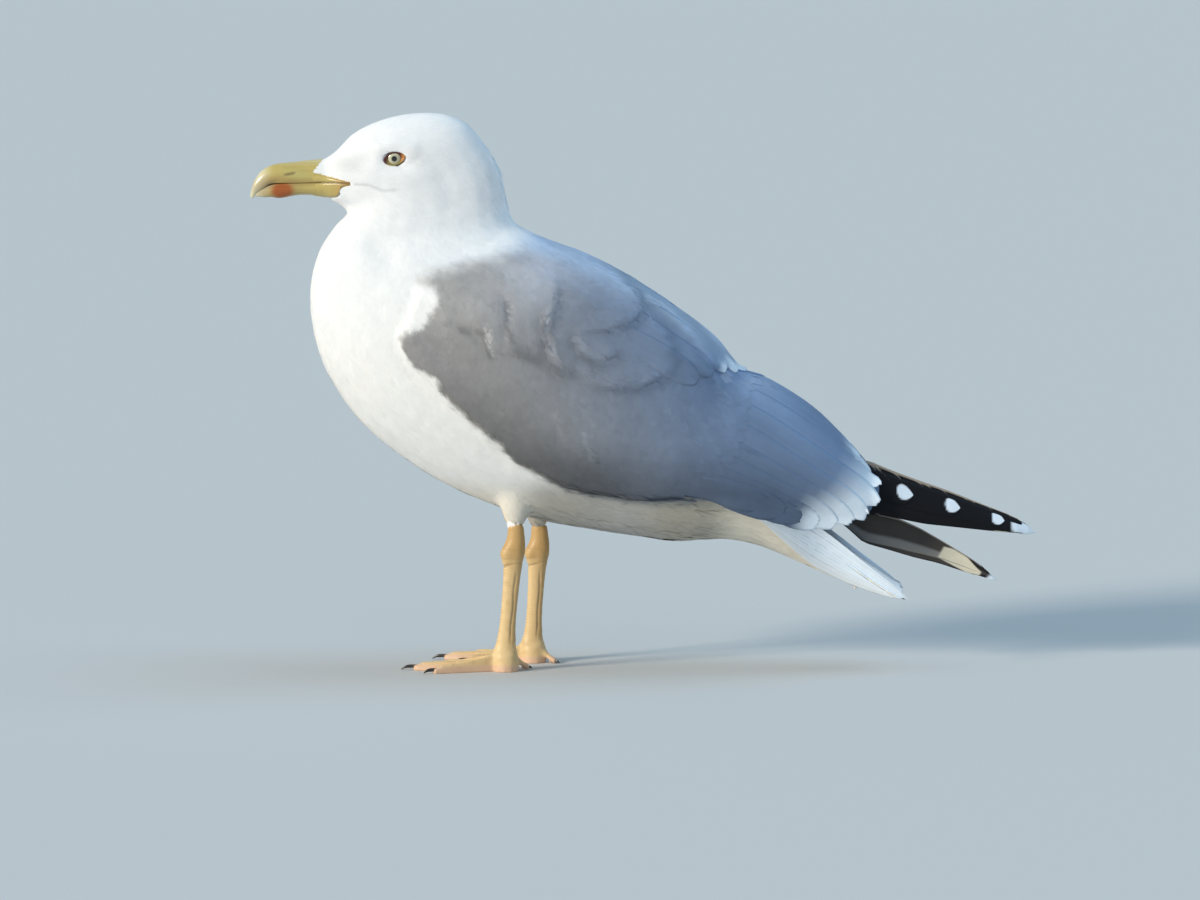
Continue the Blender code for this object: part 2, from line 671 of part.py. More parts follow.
def build_claws(side, sign, limb):
    """The claws of the front toes, the small hind toe and its claw."""
    joint = Vector((limb.x + JOINT_SHIFT, limb.y, 0))
    for name, direction, length in toe_points(limb, sign):
        root = joint + direction * (length + CLEARANCE)
        rings = claw_rings(root, direction, CLAW_LENGTHS[name], CLAW_RADIUS, CLAW_ROOT_HEIGHT, CLEARANCE)
        part(f"claw_{side}_{name}", loft(rings), "dark claw", ROUND_ANGLE)
    back = Vector((math.cos(HIND_TOE_TURN), -sign * math.sin(HIND_TOE_TURN), 0))
    root = joint + back * (HEEL_RADIUS + 2 * CLEARANCE)
    rings = []
    for t in HIND_TOE_STEPS:
        radius = HIND_TOE_RADIUS * (1 - HIND_TOE_TAPER * t)
        middle = root + back * HIND_TOE_LENGTH * t
        middle.z = radius * HIND_TOE_SINK + HIND_TOE_HEIGHT * (1 - t)
        rings.append(round_ring(middle, back, radius, radius))
    part(f"hind_toe_{side}", loft(rings), "yellow skin", ROUND_ANGLE)
    tip = root + back * (HIND_TOE_LENGTH + CLEARANCE)
    radius = HIND_TOE_RADIUS * (1 - HIND_TOE_TAPER) - CLEARANCE
    rings = claw_rings(tip, back, HIND_CLAW_LENGTH, radius, radius, CLEARANCE)
    part(f"claw_{side}_hind", loft(rings), "dark claw", ROUND_ANGLE)


def main():
    """Builds the whole bird."""
    clear_scene()
    collection(COLLECTION)
    collection(CUTTERS)
    trunk = build_trunk()
    trunk_cutter = build_trunk_cutter()
    build_eyes(trunk["head"])
    build_bill()
    build_wings(trunk_cutter)
    build_wing_tips()
    build_tail(trunk_cutter)
    for side, sign in SIDES.items():
        limb = LIMBS[side]
        build_leg(side, limb, trunk_cutter)
        build_foot(side, sign, limb)
        build_claws(side, sign, limb)


main()
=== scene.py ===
"""Yellow-legged gull, life size, standing at rest: skin, plumage, bill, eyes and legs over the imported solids.

Sizes in the tables are millimetres in the bird's own frame: the bill points to -X, the left side is at -Y
and the feet stand on Z = 0. Meshes are in metres.
"""

import logging
import math
from dataclasses import dataclass, field, replace
from enum import Enum
from functools import partialmethod

import bmesh
import bpy
import numpy as np
from mathutils import Matrix, Vector
from mathutils.bvhtree import BVHTree
from numpy.linalg import norm

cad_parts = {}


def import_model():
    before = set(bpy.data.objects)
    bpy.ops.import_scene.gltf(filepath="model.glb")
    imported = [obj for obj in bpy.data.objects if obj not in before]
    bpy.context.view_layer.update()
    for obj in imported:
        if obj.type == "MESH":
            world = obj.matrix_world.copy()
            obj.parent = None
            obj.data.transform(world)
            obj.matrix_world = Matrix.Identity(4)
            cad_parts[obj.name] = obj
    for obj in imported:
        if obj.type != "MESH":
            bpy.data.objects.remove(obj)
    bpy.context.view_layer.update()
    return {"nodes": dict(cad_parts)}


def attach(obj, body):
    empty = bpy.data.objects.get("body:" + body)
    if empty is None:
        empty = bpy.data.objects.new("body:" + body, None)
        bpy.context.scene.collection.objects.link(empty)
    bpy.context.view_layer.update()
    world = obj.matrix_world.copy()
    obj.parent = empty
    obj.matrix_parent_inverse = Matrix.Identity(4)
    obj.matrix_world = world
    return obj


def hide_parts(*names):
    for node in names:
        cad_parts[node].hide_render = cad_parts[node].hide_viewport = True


Array = np.ndarray
Mesh = bpy.types.Mesh
Object = bpy.types.Object
Material = bpy.types.Material
Place = tuple[float, float]
Colour = tuple[float, float, float]

MM = 0.001
SEED = 7
TINT = "tint"
VANE_MAP = "vane"
BAKE_MAP = "OFBake"
BAKE_PATCH = 0.003
ROOT_BODY = "root"
FEATHER_WALL = 0.3
BLADE_STATIONS = 25

log = logging.getLogger("gull")


class Side(Enum):
    """The two sides of the bird, by the sign of Y."""

    LEFT = -1
    RIGHT = 1

    @property
    def label(self) -> str:
        """The side's name as node names spell it."""
        return self.name.lower()


class Slot(Enum):
    """The record's material slots."""

    WHITE = "white_plumage"
    REAR = "rear_plumage"
    GREY = "grey_plumage"
    BLACK = "black_plumage"
    BILL = "yellow_bill"
    EYE = "pale_eye"
    LEG = "yellow_skin"
    CLAW = "dark_claw"


class Paint:
    """Colours of the bird, as linear red, green and blue."""

    WHITE = (0.83, 0.84, 0.85)
    CREAM = (0.8, 0.73, 0.6)
    # the mantle's grey as lit by warm sun, and the same grey in bluish sky shade: painted light and shade
    GREY_SUNLIT = (0.275, 0.268, 0.268)
    GREY_SKY_SHADED = (0.15, 0.218, 0.347)
    # the back's grey with painted sky light on it
    GREY_SKY_HIGHLIGHT = (0.26, 0.328, 0.43)
    # white as seen in bluish sky shade: painted shade
    WHITE_SKY_SHADED = (0.72, 0.81, 0.9)
    BLACK = (0.007, 0.007, 0.009)
    BROWN_FRINGE = (0.36, 0.31, 0.26)
    UNDER_DARK = (0.07, 0.06, 0.053)
    UNDER_PALE = (0.25, 0.235, 0.22)
    MIRROR = (0.72, 0.66, 0.52)
    SHAFT = (0.3, 0.28, 0.24)
    HORN = (0.52, 0.405, 0.125)
    HORN_BROWN = (0.33, 0.2, 0.065)
    HORN_PALE = (0.74, 0.69, 0.47)
    HORN_GREEN = (0.42, 0.42, 0.15)
    GAPE = (0.42, 0.205, 0.06)
    SPOT = (0.36, 0.078, 0.005)
    # dark smudge colour, also used for painted shade in the nostril, the mouth's groove and the leg's creases
    SMUDGE_AND_SHADE = (0.16, 0.1, 0.05)
    LEG = (0.78, 0.555, 0.275)
    LEG_DEEP = (0.5, 0.275, 0.075)
    WEB = (0.76, 0.5, 0.33)
    CLAW = (0.028, 0.022, 0.018)
    RING_DARK = (0.085, 0.018, 0.016)
    RING_ORANGE = (0.5, 0.19, 0.035)
    RING_OLIVE = (0.3, 0.24, 0.055)
    IRIS = (0.64, 0.61, 0.44)
    IRIS_RIM = (0.3, 0.26, 0.14)
    PUPIL = (0.003, 0.003, 0.003)


# --- shader nodes ---


class Value:
    """A node socket that takes part in sums by adding Math nodes."""

    def __init__(self, graph: "Graph", socket: bpy.types.NodeSocket) -> None:
        """Keeps the graph that the socket belongs to."""
        self.graph = graph
        self.socket = socket

    def math(self, operation: str, other: "Value | float", flip: bool = False) -> "Value":
        """One Math node of this value and another.

        Args:
            operation: The Math node's operation.
            other: The second value, or the first one when flip is set.
            flip: Whether the other value comes first.

        Returns:
            The node's result.
        """
        first, second = (other, self) if flip else (self, other)
        node = self.graph.node("ShaderNodeMath", {"operation": operation}, {0: first, 1: second})
        return Value(self.graph, node.outputs[0])

    # the operators that expressions use, with their reflected forms
    __add__ = partialmethod(math, "ADD")
    __radd__ = partialmethod(math, "ADD", flip=True)
    __sub__ = partialmethod(math, "SUBTRACT")
    __rsub__ = partialmethod(math, "SUBTRACT", flip=True)
    __mul__ = partialmethod(math, "MULTIPLY")
    __rmul__ = partialmethod(math, "MULTIPLY", flip=True)
    __abs__ = partialmethod(math, "ABSOLUTE", 0.0)


class Graph:
    """The nodes of one material, round its Principled shader."""

    def __init__(self, name: str) -> None:
        """Makes the material.

        Args:
            name: The material's name.
        """
        self.material = bpy.data.materials.new(name)
        self.material.use_nodes = True
        self.tree = self.material.node_tree
        self.shader = self.tree.nodes["Principled BSDF"]

    def node(self, kind: str, settings: dict | None = None, inputs: dict | None = None) -> bpy.types.Node:
        """A new node.

        Args:
            kind: The node's type.
            settings: Properties to set first.
            inputs: Numbers, colours or links of its sockets, by name or index.

        Returns:
            The node.
        """
        made = self.tree.nodes.new(kind)
        for key, value in (settings or {}).items():
            setattr(made, key, value)
        for key, value in (inputs or {}).items():
            self.feed(made.inputs[key], value)
        return made

    def feed(self, socket: bpy.types.NodeSocket, value: "Value | float | tuple") -> None:
        """Links a value to a socket, or sets the socket's own number or colour.

        Args:
            socket: The socket.
            value: A value to link, or a number or colour to set.
        """
        if isinstance(value, Value):
            self.tree.links.new(value.socket, socket)
        else:
            socket.default_value = value

    def out(
        self, kind: str, settings: dict | None = None, inputs: dict | None = None, output: str | int = 0
    ) -> Value:
        """One output of a new node, as a value."""
        return Value(self, self.node(kind, settings, inputs).outputs[output])

    def tint(self) -> Value:
        """The colour that the piece's vertices carry."""
        return self.out("ShaderNodeAttribute", {"attribute_name": TINT}, output="Color")

    def noise(self, vector: Value, scale: float, detail: float = 2.0) -> Value:
        """Smooth noise from 0 to 1 at a place."""
        return self.out("ShaderNodeTexNoise", inputs={"Vector": vector, "Scale": scale, "Detail": detail})

    def places(self) -> Value:
        """The place on the piece, in metres."""
        return self.out("ShaderNodeTexCoord", output="Object")

    def scaled(self, colour: Value, amount: Value) -> Value:
        """A colour made brighter or darker."""
        return self.out("ShaderNodeVectorMath", {"operation": "SCALE"}, {0: colour, "Scale": amount})

    def bump(self, height: Value, strength: float, distance: float) -> None:
        """Sets the shader's relief from a height."""
        relief = self.out("ShaderNodeBump", inputs={"Height": height, "Strength": strength, "Distance": distance})
        self.feed(self.shader.inputs["Normal"], relief)

    def finish(self, numbers: dict[str, float | tuple]) -> Material:
        """Sets numbers on the shader's own sockets and returns the material.

        Args:
            numbers: The numbers and colours, by socket.

        Returns:
            The material.
        """
        for key, value in numbers.items():
            self.shader.inputs[key].default_value = value
        return self.material


@dataclass(frozen=True)
class FeatherFinish:
    """Feather vanes: the colour of their vertices, broken up by barbs that run out from the shaft."""

    name: str
    roughness: float = 0.75
    sheen: float = 0.15
    streaks: float = 0.1
    barb_rows: float = 42.0
    barb_slant: float = 1.3
    relief: float = 0.25
    refraction: float = 1.4

    def material(self) -> Material:
        """The material with its nodes.

        Returns:
            The material.
        """
        graph = Graph(self.name)
        vane = graph.out("ShaderNodeUVMap", {"uv_map": VANE_MAP})
        split = graph.node("ShaderNodeSeparateXYZ", inputs={0: vane})
        across, along = Value(graph, split.outputs["X"]), Value(graph, split.outputs["Y"])
        slanted = along - abs(across - 0.5) * self.barb_slant
        barbs = graph.out("ShaderNodeCombineXYZ", inputs={"X": across * 2.0, "Y": slanted * self.barb_rows})
        streak = graph.noise(barbs, 1.0, 1.0)
        patch = graph.noise(graph.places(), 130.0)
        amount = (1.0 - self.streaks) + streak * self.streaks + patch * self.streaks
        graph.feed(graph.shader.inputs["Base Color"], graph.scaled(graph.tint(), amount))
        graph.bump(streak, self.relief, 0.0004)
        return graph.finish(
            {"Roughness": self.roughness, "Sheen Weight": self.sheen, "Sheen Roughness": 0.5, "IOR": self.refraction}
        )


@dataclass(frozen=True)
class SkinFinish:
    """Bare or covered skin: the colour of its vertices over fine grain."""

    name: str
    roughness: float = 0.6
    grain: float = 900.0
    mottle: float = 0.12
    relief: float = 0.3
    depth: float = 0.0003
    coat: float = 0.0

    def material(self) -> Material:
        """The material with its nodes.

        Returns:
            The material.
        """
        graph = Graph(self.name)
        places = graph.places()
        grain = graph.noise(places, self.grain, 3.0)
        amount = (1.0 - self.mottle) + grain * self.mottle + graph.noise(places, 90.0) * self.mottle
        graph.feed(graph.shader.inputs["Base Color"], graph.scaled(graph.tint(), amount))
        graph.bump(grain, self.relief, self.depth)
        return graph.finish({"Roughness": self.roughness, "Coat Weight": self.coat, "Coat Roughness": 0.12})


@dataclass(frozen=True)
class EyeFinish:
    """The wet eye: a clear coat over the iris."""

    name: str = "wet_eye"

    def material(self) -> Material:
        """The material with its nodes.

        Returns:
            The material.
        """
        graph = Graph(self.name)
        graph.feed(graph.shader.inputs["Base Color"], graph.tint())
        return graph.finish({"Roughness": 0.25, "Coat Weight": 1.0, "Coat Roughness": 0.02, "IOR": 1.38})


@dataclass(frozen=True)
class PlainFinish:
    """One even colour."""

    name: str
    colour: Colour
    roughness: float

    def material(self) -> Material:
        """The material with its nodes."""
        graph = Graph(self.name)
        return graph.finish({"Base Color": (*self.colour, 1.0), "Roughness": self.roughness})


# --- numbers ---


def unit(vectors: Array) -> Array:
    """Vectors of length one."""
    return vectors / np.maximum(norm(vectors, axis=-1, keepdims=True), 1e-9)


def along_surface(ways: Array, normals: Array) -> Array:
    """Directions turned to run along a surface with these normals."""
    return unit(ways - normals * np.sum(ways * normals, axis=-1, keepdims=True))


def smooth(low: float, high: float, values: Array) -> Array:
    """Zero below low, one above high, and a smooth rise between them."""
    t = np.clip((values - low) / (high - low), 0.0, 1.0)
    return t * t * (3 - 2 * t)


def bell(*spans: tuple[Array, float, float]) -> Array:
    """One where every value is at its middle, and less all round.

    Args:
        spans: Values, their middle and the width over which they fall off.

    Returns:
        The heights, from 0 to 1.
    """
    return np.exp(-sum(((values - middle) / width) ** 2 for values, middle, width in spans))


def mixed(first: Array | Colour, second: Array | Colour, share: Array) -> Array:
    """Colours between two others, by the share of the second."""
    share = np.asarray(share)[..., None]
    return np.asarray(first) * (1 - share) + np.asarray(second) * share


def beside(line: list[Place], points: Array) -> tuple[Array, Array]:
    """How far points (x, z) lie to the right of an open line.

    Args:
        line: The line's corners.
        points: The points, one to a row.

    Returns:
        The distance to the line, negative on its left, and the share of its length where it is closest.
    """
    corners = np.array(line, float)
    reach = np.concatenate([[0], np.cumsum(norm(np.diff(corners, axis=0), axis=1))])
    least, signed, shares = np.full(len(points), np.inf), np.zeros(len(points)), np.zeros(len(points))
    for i, (start, end) in enumerate(zip(corners, corners[1:])):
        edge = end - start
        share = np.clip((points - start) @ edge / (edge @ edge), 0, 1)
        off = points - start - share[:, None] * edge
        size = norm(off, axis=1)
        near = size < least
        least = np.where(near, size, least)
        signed = np.where(near, np.where(edge[1] * off[:, 0] < edge[0] * off[:, 1], -size, size), signed)
        shares = np.where(near, (reach[i] + share * (reach[i + 1] - reach[i])) / reach[-1], shares)
    return signed, shares


def from_line(line: list[Place], points: Array) -> Array:
    """How far points (x, z) lie from an open line."""
    return np.abs(beside(line, points)[0])


def layered(base: Array | Colour, *layers: tuple[Colour, Array]) -> Array:
    """A colour with others laid over it in turn, each by its share.

    Args:
        base: The colour, or one to each point.
        layers: The colours over it and their shares, from 0 to 1.

    Returns:
        One colour to each point.
    """
    for colour, share in layers:
        base = mixed(base, colour, share)
    return base


def inside(outline: list[Place], points: Array) -> Array:
    """How far points (x, z) lie inside a closed outline.

    Args:
        outline: The outline's corners.
        points: The points, one to a row.

    Returns:
        The distance to the outline, negative outside it.
    """
    corners = [*outline, outline[0]]
    odd = np.zeros(len(points), bool)
    for (x, z), (next_x, next_z) in zip(corners, corners[1:]):
        crosses = (z > points[:, 1]) != (next_z > points[:, 1])
        odd ^= crosses & (points[:, 0] < x + (points[:, 1] - z) / ((next_z - z) or 1e-9) * (next_x - x))
    least = from_line(corners, points)
    return np.where(odd, least, -least)


def ripple(points: Array, wavelength: float) -> Array:
    """A cheap smooth disturbance from -1 to 1, the same for the same places.

    Args:
        points: The places.
        wavelength: The length of a wave, in the same unit.

    Returns:
        One height to a place.
    """
    turns = points / wavelength * math.tau
    x, y, z = turns[..., 0], turns[..., 1], turns[..., 2]
    return (np.sin(x + 1.7 * np.sin(0.6 * z)) + np.sin(z * 1.3 + 1.1 * np.sin(0.8 * x + y)) + np.sin(y + 0.5 * x)) / 3


def along_line(line: list[tuple], shares: Array) -> Array:
    """Places at shares of a line's length.

    Args:
        line: The line's corners.
        shares: Shares of its length.

    Returns:
        One place to a share.
    """
    line = np.array(line, float)
    reach = np.concatenate([[0], np.cumsum(norm(np.diff(line, axis=0), axis=1))])
    return np.stack([np.interp(shares * reach[-1], reach, column) for column in line.T], axis=-1)


# --- the lie of the coat ---


# How feathers lie at places of the side view: x, z, their direction in degrees, length and half width.
LIES: list[tuple] = [
    # forehead, crown and nape
    (-213, 324, 8, 2.6, 0.6), (-204, 330, 28, 3, 0.7), (-190, 344, 38, 3.6, 0.8),
    (-172, 353, 24, 4.2, 0.9), (-150, 359, 5, 5, 1.1), (-128, 359, -18, 5.5, 1.2),
    (-112, 350, -42, 6.5, 1.4), (-101, 335, -60, 7.5, 1.6), (-93, 318, -68, 8.5, 1.9),
    (-88, 300, -62, 10, 2.4),
    # face, cheeks and throat
    (-200, 322, 4, 2.8, 0.65), (-186, 333, 14, 3.2, 0.75), (-184, 318, -6, 3.2, 0.75),
    (-170, 344, 14, 4, 0.9), (-171, 325, -12, 3.4, 0.8), (-160, 316, -18, 4.2, 1),
    (-146, 333, -8, 4.8, 1.1), (-130, 340, -20, 5.2, 1.2), (-140, 315, -32, 5.6, 1.3),
    (-120, 320, -48, 6.4, 1.5), (-196, 308, -18, 3, 0.7), (-188, 300, -38, 4, 0.9),
    (-175, 302, -40, 5, 1.2), (-155, 298, -58, 6.6, 1.6), (-130, 298, -64, 7.6, 1.9),
    (-108, 305, -64, 8, 2), (-196, 293, -80, 5, 1.3), (-206, 282, -110, 7.5, 1.9),
    # neck and breast
    (-180, 280, -84, 8, 2), (-150, 278, -74, 9.5, 2.4), (-120, 282, -66, 10.5, 2.7),
    (-213, 262, -100, 9, 2.3), (-216, 238, -88, 11, 2.8), (-211, 208, -76, 12.5, 3.2),
    (-190, 250, -84, 10.5, 2.7), (-165, 255, -80, 11, 2.8), (-150, 245, -84, 11, 2.8),
    (-188, 210, -70, 12.5, 3.2), (-165, 215, -68, 12, 3), (-200, 180, -60, 13, 3.3),
    # belly, flank and undertail
    (-160, 185, -52, 13, 3.3), (-180, 160, -46, 13.5, 3.4), (-140, 150, -40, 14, 3.5),
    (-130, 122, -33, 14.5, 3.6), (-100, 128, -32, 14.5, 3.6), (-100, 106, -22, 14.5, 3.6),
    (-60, 108, -16, 15, 3.8), (-60, 96, -14, 15, 3.8), (-10, 100, -8, 16, 4),
    (-10, 86, -6, 15, 3.6), (30, 98, -8, 17, 4.2), (35, 83, -6, 14, 3.2),
    (70, 92, -16, 20, 4.6), (70, 80, -12, 16, 3.8), (100, 76, -26, 22, 5),
    (130, 60, -30, 22, 5),
    # mantle and scapulars
    (-88, 280, -34, 13, 4.2), (-120, 262, -46, 12, 4.2), (-100, 262, -40, 15, 5),
    (-60, 270, -28, 17, 5.6), (-132, 246, -62, 12, 4.2), (-105, 240, -66, 15, 5),
    (-80, 250, -50, 18, 6), (-30, 256, -30, 20, 6.6), (-40, 238, -40, 21, 7.2),
    (-70, 225, -64, 18, 6), (0, 240, -33, 22, 7.2), (-30, 210, -55, 20, 7.4),
    (10, 215, -42, 22, 7.6), (30, 222, -34, 22, 7.2), (55, 196, -34, 22, 7.2),
    # wing coverts
    (-152, 212, -56, 9, 3), (-136, 214, -66, 10, 3.4), (-110, 212, -74, 12, 4),
    (-142, 196, -52, 9, 3), (-120, 190, -66, 12, 3.8), (-90, 190, -76, 14, 4.6),
    (-112, 168, -54, 11, 3.4), (-85, 165, -66, 15, 4.8), (-60, 185, -72, 16, 5.2),
    (-85, 143, -44, 12, 3.6), (-55, 150, -54, 17, 5.4), (-30, 175, -60, 17, 5.8),
    (-40, 128, -26, 15, 4.6), (-10, 145, -38, 20, 6.2), (5, 180, -50, 19, 6.4),
    (0, 120, -12, 18, 5.4), (30, 130, -20, 22, 6.6), (35, 165, -40, 22, 7),
    (50, 115, -8, 22, 6), (75, 150, -34, 24, 7.4), (85, 112, -12, 22, 6.6),
    (110, 150, -38, 24, 7.4), (120, 115, -22, 22, 7),
]


@dataclass
class Lay:
    """The field of directions and sizes that the table of lies gives."""

    power: float = 3.0

    def at(self, points: Array) -> tuple[Array, Array, Array]:
        """Blends the table at places on the bird.

        Args:
            points: The places, in millimetres.

        Returns:
            The direction in space, the length and the half width of the feathers there.
        """
        table = np.array(LIES)
        turn = np.radians(table[:, 2])
        values = np.stack([np.cos(turn), np.sin(turn), table[:, 3], table[:, 4]], axis=1)
        gaps = points[:, None, [0, 2]] - table[None, :, :2]
        weights = 1.0 / (np.sum(gaps**2, axis=2) + 4.0) ** (self.power / 2)
        found = (weights @ values) / weights.sum(axis=1, keepdims=True)
        direction = np.stack([found[:, 0], np.zeros(len(points)), found[:, 1]], axis=1)
        return unit(direction), found[:, 2], found[:, 3]


# --- markings ---

# The grey of the mantle and folded wing, seen from the side.
GREY_OUTLINE: list[Place] = [
    (-143.1, 255.7), (-134.4, 250.6), (-132.7, 243.1), (-136.4, 233.5), (-144.2, 224.4), (-156.5, 220.2),
    (-153.3, 209.5), (-147.4, 200.8), (-134.4, 193.8), (-131.2, 185.7), (-123.4, 177.2), (-109.1, 165),
    (-96.7, 153), (-85.7, 141.6), (-65.8, 128.8), (-52.5, 121.5), (-39.5, 117.4), (-6.4, 112.4),
    (35.9, 111.9), (60, 110), (84, 103), (101, 94), (118, 87), (160, 92), (175, 130),
    (60, 250), (0, 300), (-62, 302), (-76, 283), (-86.3, 275.7), (-96.7, 269.6),
    (-114.3, 267), (-131.8, 262.4),
]
# The bare horn of the bill and the gape, which no feather grows on.
BARE_OUTLINE: list[Place] = [
    (-262, 345), (-206.5, 333), (-214.6, 322.9), (-203.5, 319.9), (-190, 317.4), (-187.5, 315.6),
    (-192.5, 314), (-197, 312.3), (-198.3, 311.2), (-196.4, 309), (-197.5, 306.6), (-203, 305),
    (-207.5, 302), (-262, 295),
]
# Where the mouth's line runs on as a faint crease of the cheek, darkened with painted shade.
GAPE_CREASE: list[Place] = [(-187, 315.6), (-177.3, 315.4), (-168.2, 311.6), (-160.4, 312.6)]
EYE_CENTRE = (-160.9, 13.5, 332.3)
EYE_RADIUS = 7.8

# The upper border of the shoulder's feathers; above it the back is painted paler and bluer, as sky light falling on
# top.
SHOULDER_LINE: list[Place] = [
    (-150, 259), (-126, 264.5), (-103.2, 270), (-76.2, 271.5), (-55.6, 265.3), (-30.8, 252.8), (-14.2, 243.5),
    (-1.8, 235.5), (14.7, 225.1), (39.5, 208.5), (70, 184), (120, 140),
]


@dataclass(frozen=True)
class Lobe:
    """The soft edge of a group of feathers, on the left of a line in the side view, over what lies to its right."""

    line: list[Place]
    rise: float
    # how strong the painted highlight and shadow at the edge are
    shade: float

    def relief(self, flat: Array) -> tuple[Array, Array]:
        """How far it moves the form outwards at places (x, z), and the painted highlight and shadow that it
        multiplies their colour with.

        Args:
            flat: The places, one to a row.

        Returns:
            The rise in millimetres and the colour factor of painted highlight on the rim and painted shadow beyond
            the edge, one to a place.
        """
        off, share = beside(self.line, flat)
        fade = np.clip(6 * share * (1 - share), 0.0, 1.0)
        under = off > 0
        rise = np.where(under, bell((off, 0, 1.5)), bell((off, 0, 8)))
        rise = 0.8 * self.rise * fade * (rise - 0.35 * under * bell((off, 3.5, 3.5)))
        # painted shadow just beyond the lobe's edge, and a painted highlight along its rim
        dark = 0.72 * bell((off, 1.8, 2.7)) + 0.35 * bell((off, 4.5, 5)) * under
        return rise, 1 + self.shade * fade * (0.5 * bell((off, -1.4, 1.5)) - dark)


LOBES = [
    Lobe([(-40.3, 225), (-43.6, 218.3), (-39.5, 210.2), (-28.7, 205.3), (-19.4, 208.9), (-15.3, 212.8)], 1.5, 0.28),
    Lobe([(-69.1, 211.5), (-61, 229.1), (-56.2, 243.9), (-57.1, 257.5)], 1.5, 0.2),
    Lobe([(-62.3, 241.2), (-63.7, 225), (-59.7, 208.9), (-52.9, 196.6), (-44.9, 194.8)], 1.8, 0.25),
    Lobe([(-44.9, 225), (-23.3, 225), (-7.2, 230.2), (-0.5, 237), (-4.5, 245.2), (-18.1, 258.6),
          (-36.9, 268.1)], 1.7, 0.22),
    Lobe([(-42.1, 193.8), (-23.3, 188.6), (-1.8, 188.6), (14.3, 196.6), (18.3, 208.9), (14.3, 222.3),
          (-0.5, 235.8)], 1.5, 0.21),
    Lobe([(18.3, 208.9), (35.9, 200.7), (46.6, 189.9), (53.3, 171)], 0.9, 0.15),
    Lobe([(-7.2, 247.9), (14.3, 234.3), (30.4, 218.1), (42.4, 201.9), (59.9, 195.1)], 1.2, 0.25),
    Lobe([(0.8, 255.9), (24.8, 238.5), (46.6, 213.4), (58.6, 203.2)], 1, 0.25),
]


@dataclass(frozen=True)
class Streak:
    """A short mark where feathers part: a dark slit or pocket of painted shade, or a pale shaft where the colour
    rises.
    """

    line: list[Place]
    width: float
    change: float

    def colour(self, flat: Array) -> Array:
        """What it multiplies the colour of places (x, z) with."""
        return 1 + self.change * bell((from_line(self.line, flat), 0, self.width))


# negative changes are painted shade in slits and pockets where feathers part; positive ones are pale shafts
STREAKS = [
    Streak([(-88.5, 242.6), (-87.4, 226.5), (-83.9, 216.9)], 1.2, -0.42),
    Streak([(-118, 224.6), (-113.6, 223.4)], 2, -0.35), Streak([(-107, 224.2), (-102, 222)], 2.4, -0.35),
    Streak([(-102, 217), (-98.6, 207.5)], 1.5, -0.35), Streak([(-101.9, 226.5), (-97.4, 208.9)], 0.8, 0.7),
    Streak([(-99.5, 228), (-97, 216)], 0.6, 0.5), Streak([(-57.1, 171), (-51.9, 154.6)], 0.9, 0.22),
    Streak([(-39.5, 160.1), (-33, 141.2)], 0.9, 0.22), Streak([(-34.5, 152), (-29.5, 139)], 1, -0.25),
    Streak([(-80.5, 211.2), (-68, 205.3)], 3.6, -0.3), Streak([(-54.5, 200.7), (-44, 195.5)], 3.4, -0.22),
    Streak([(67.7, 149.4), (71, 139)], 0.8, -0.4),
]


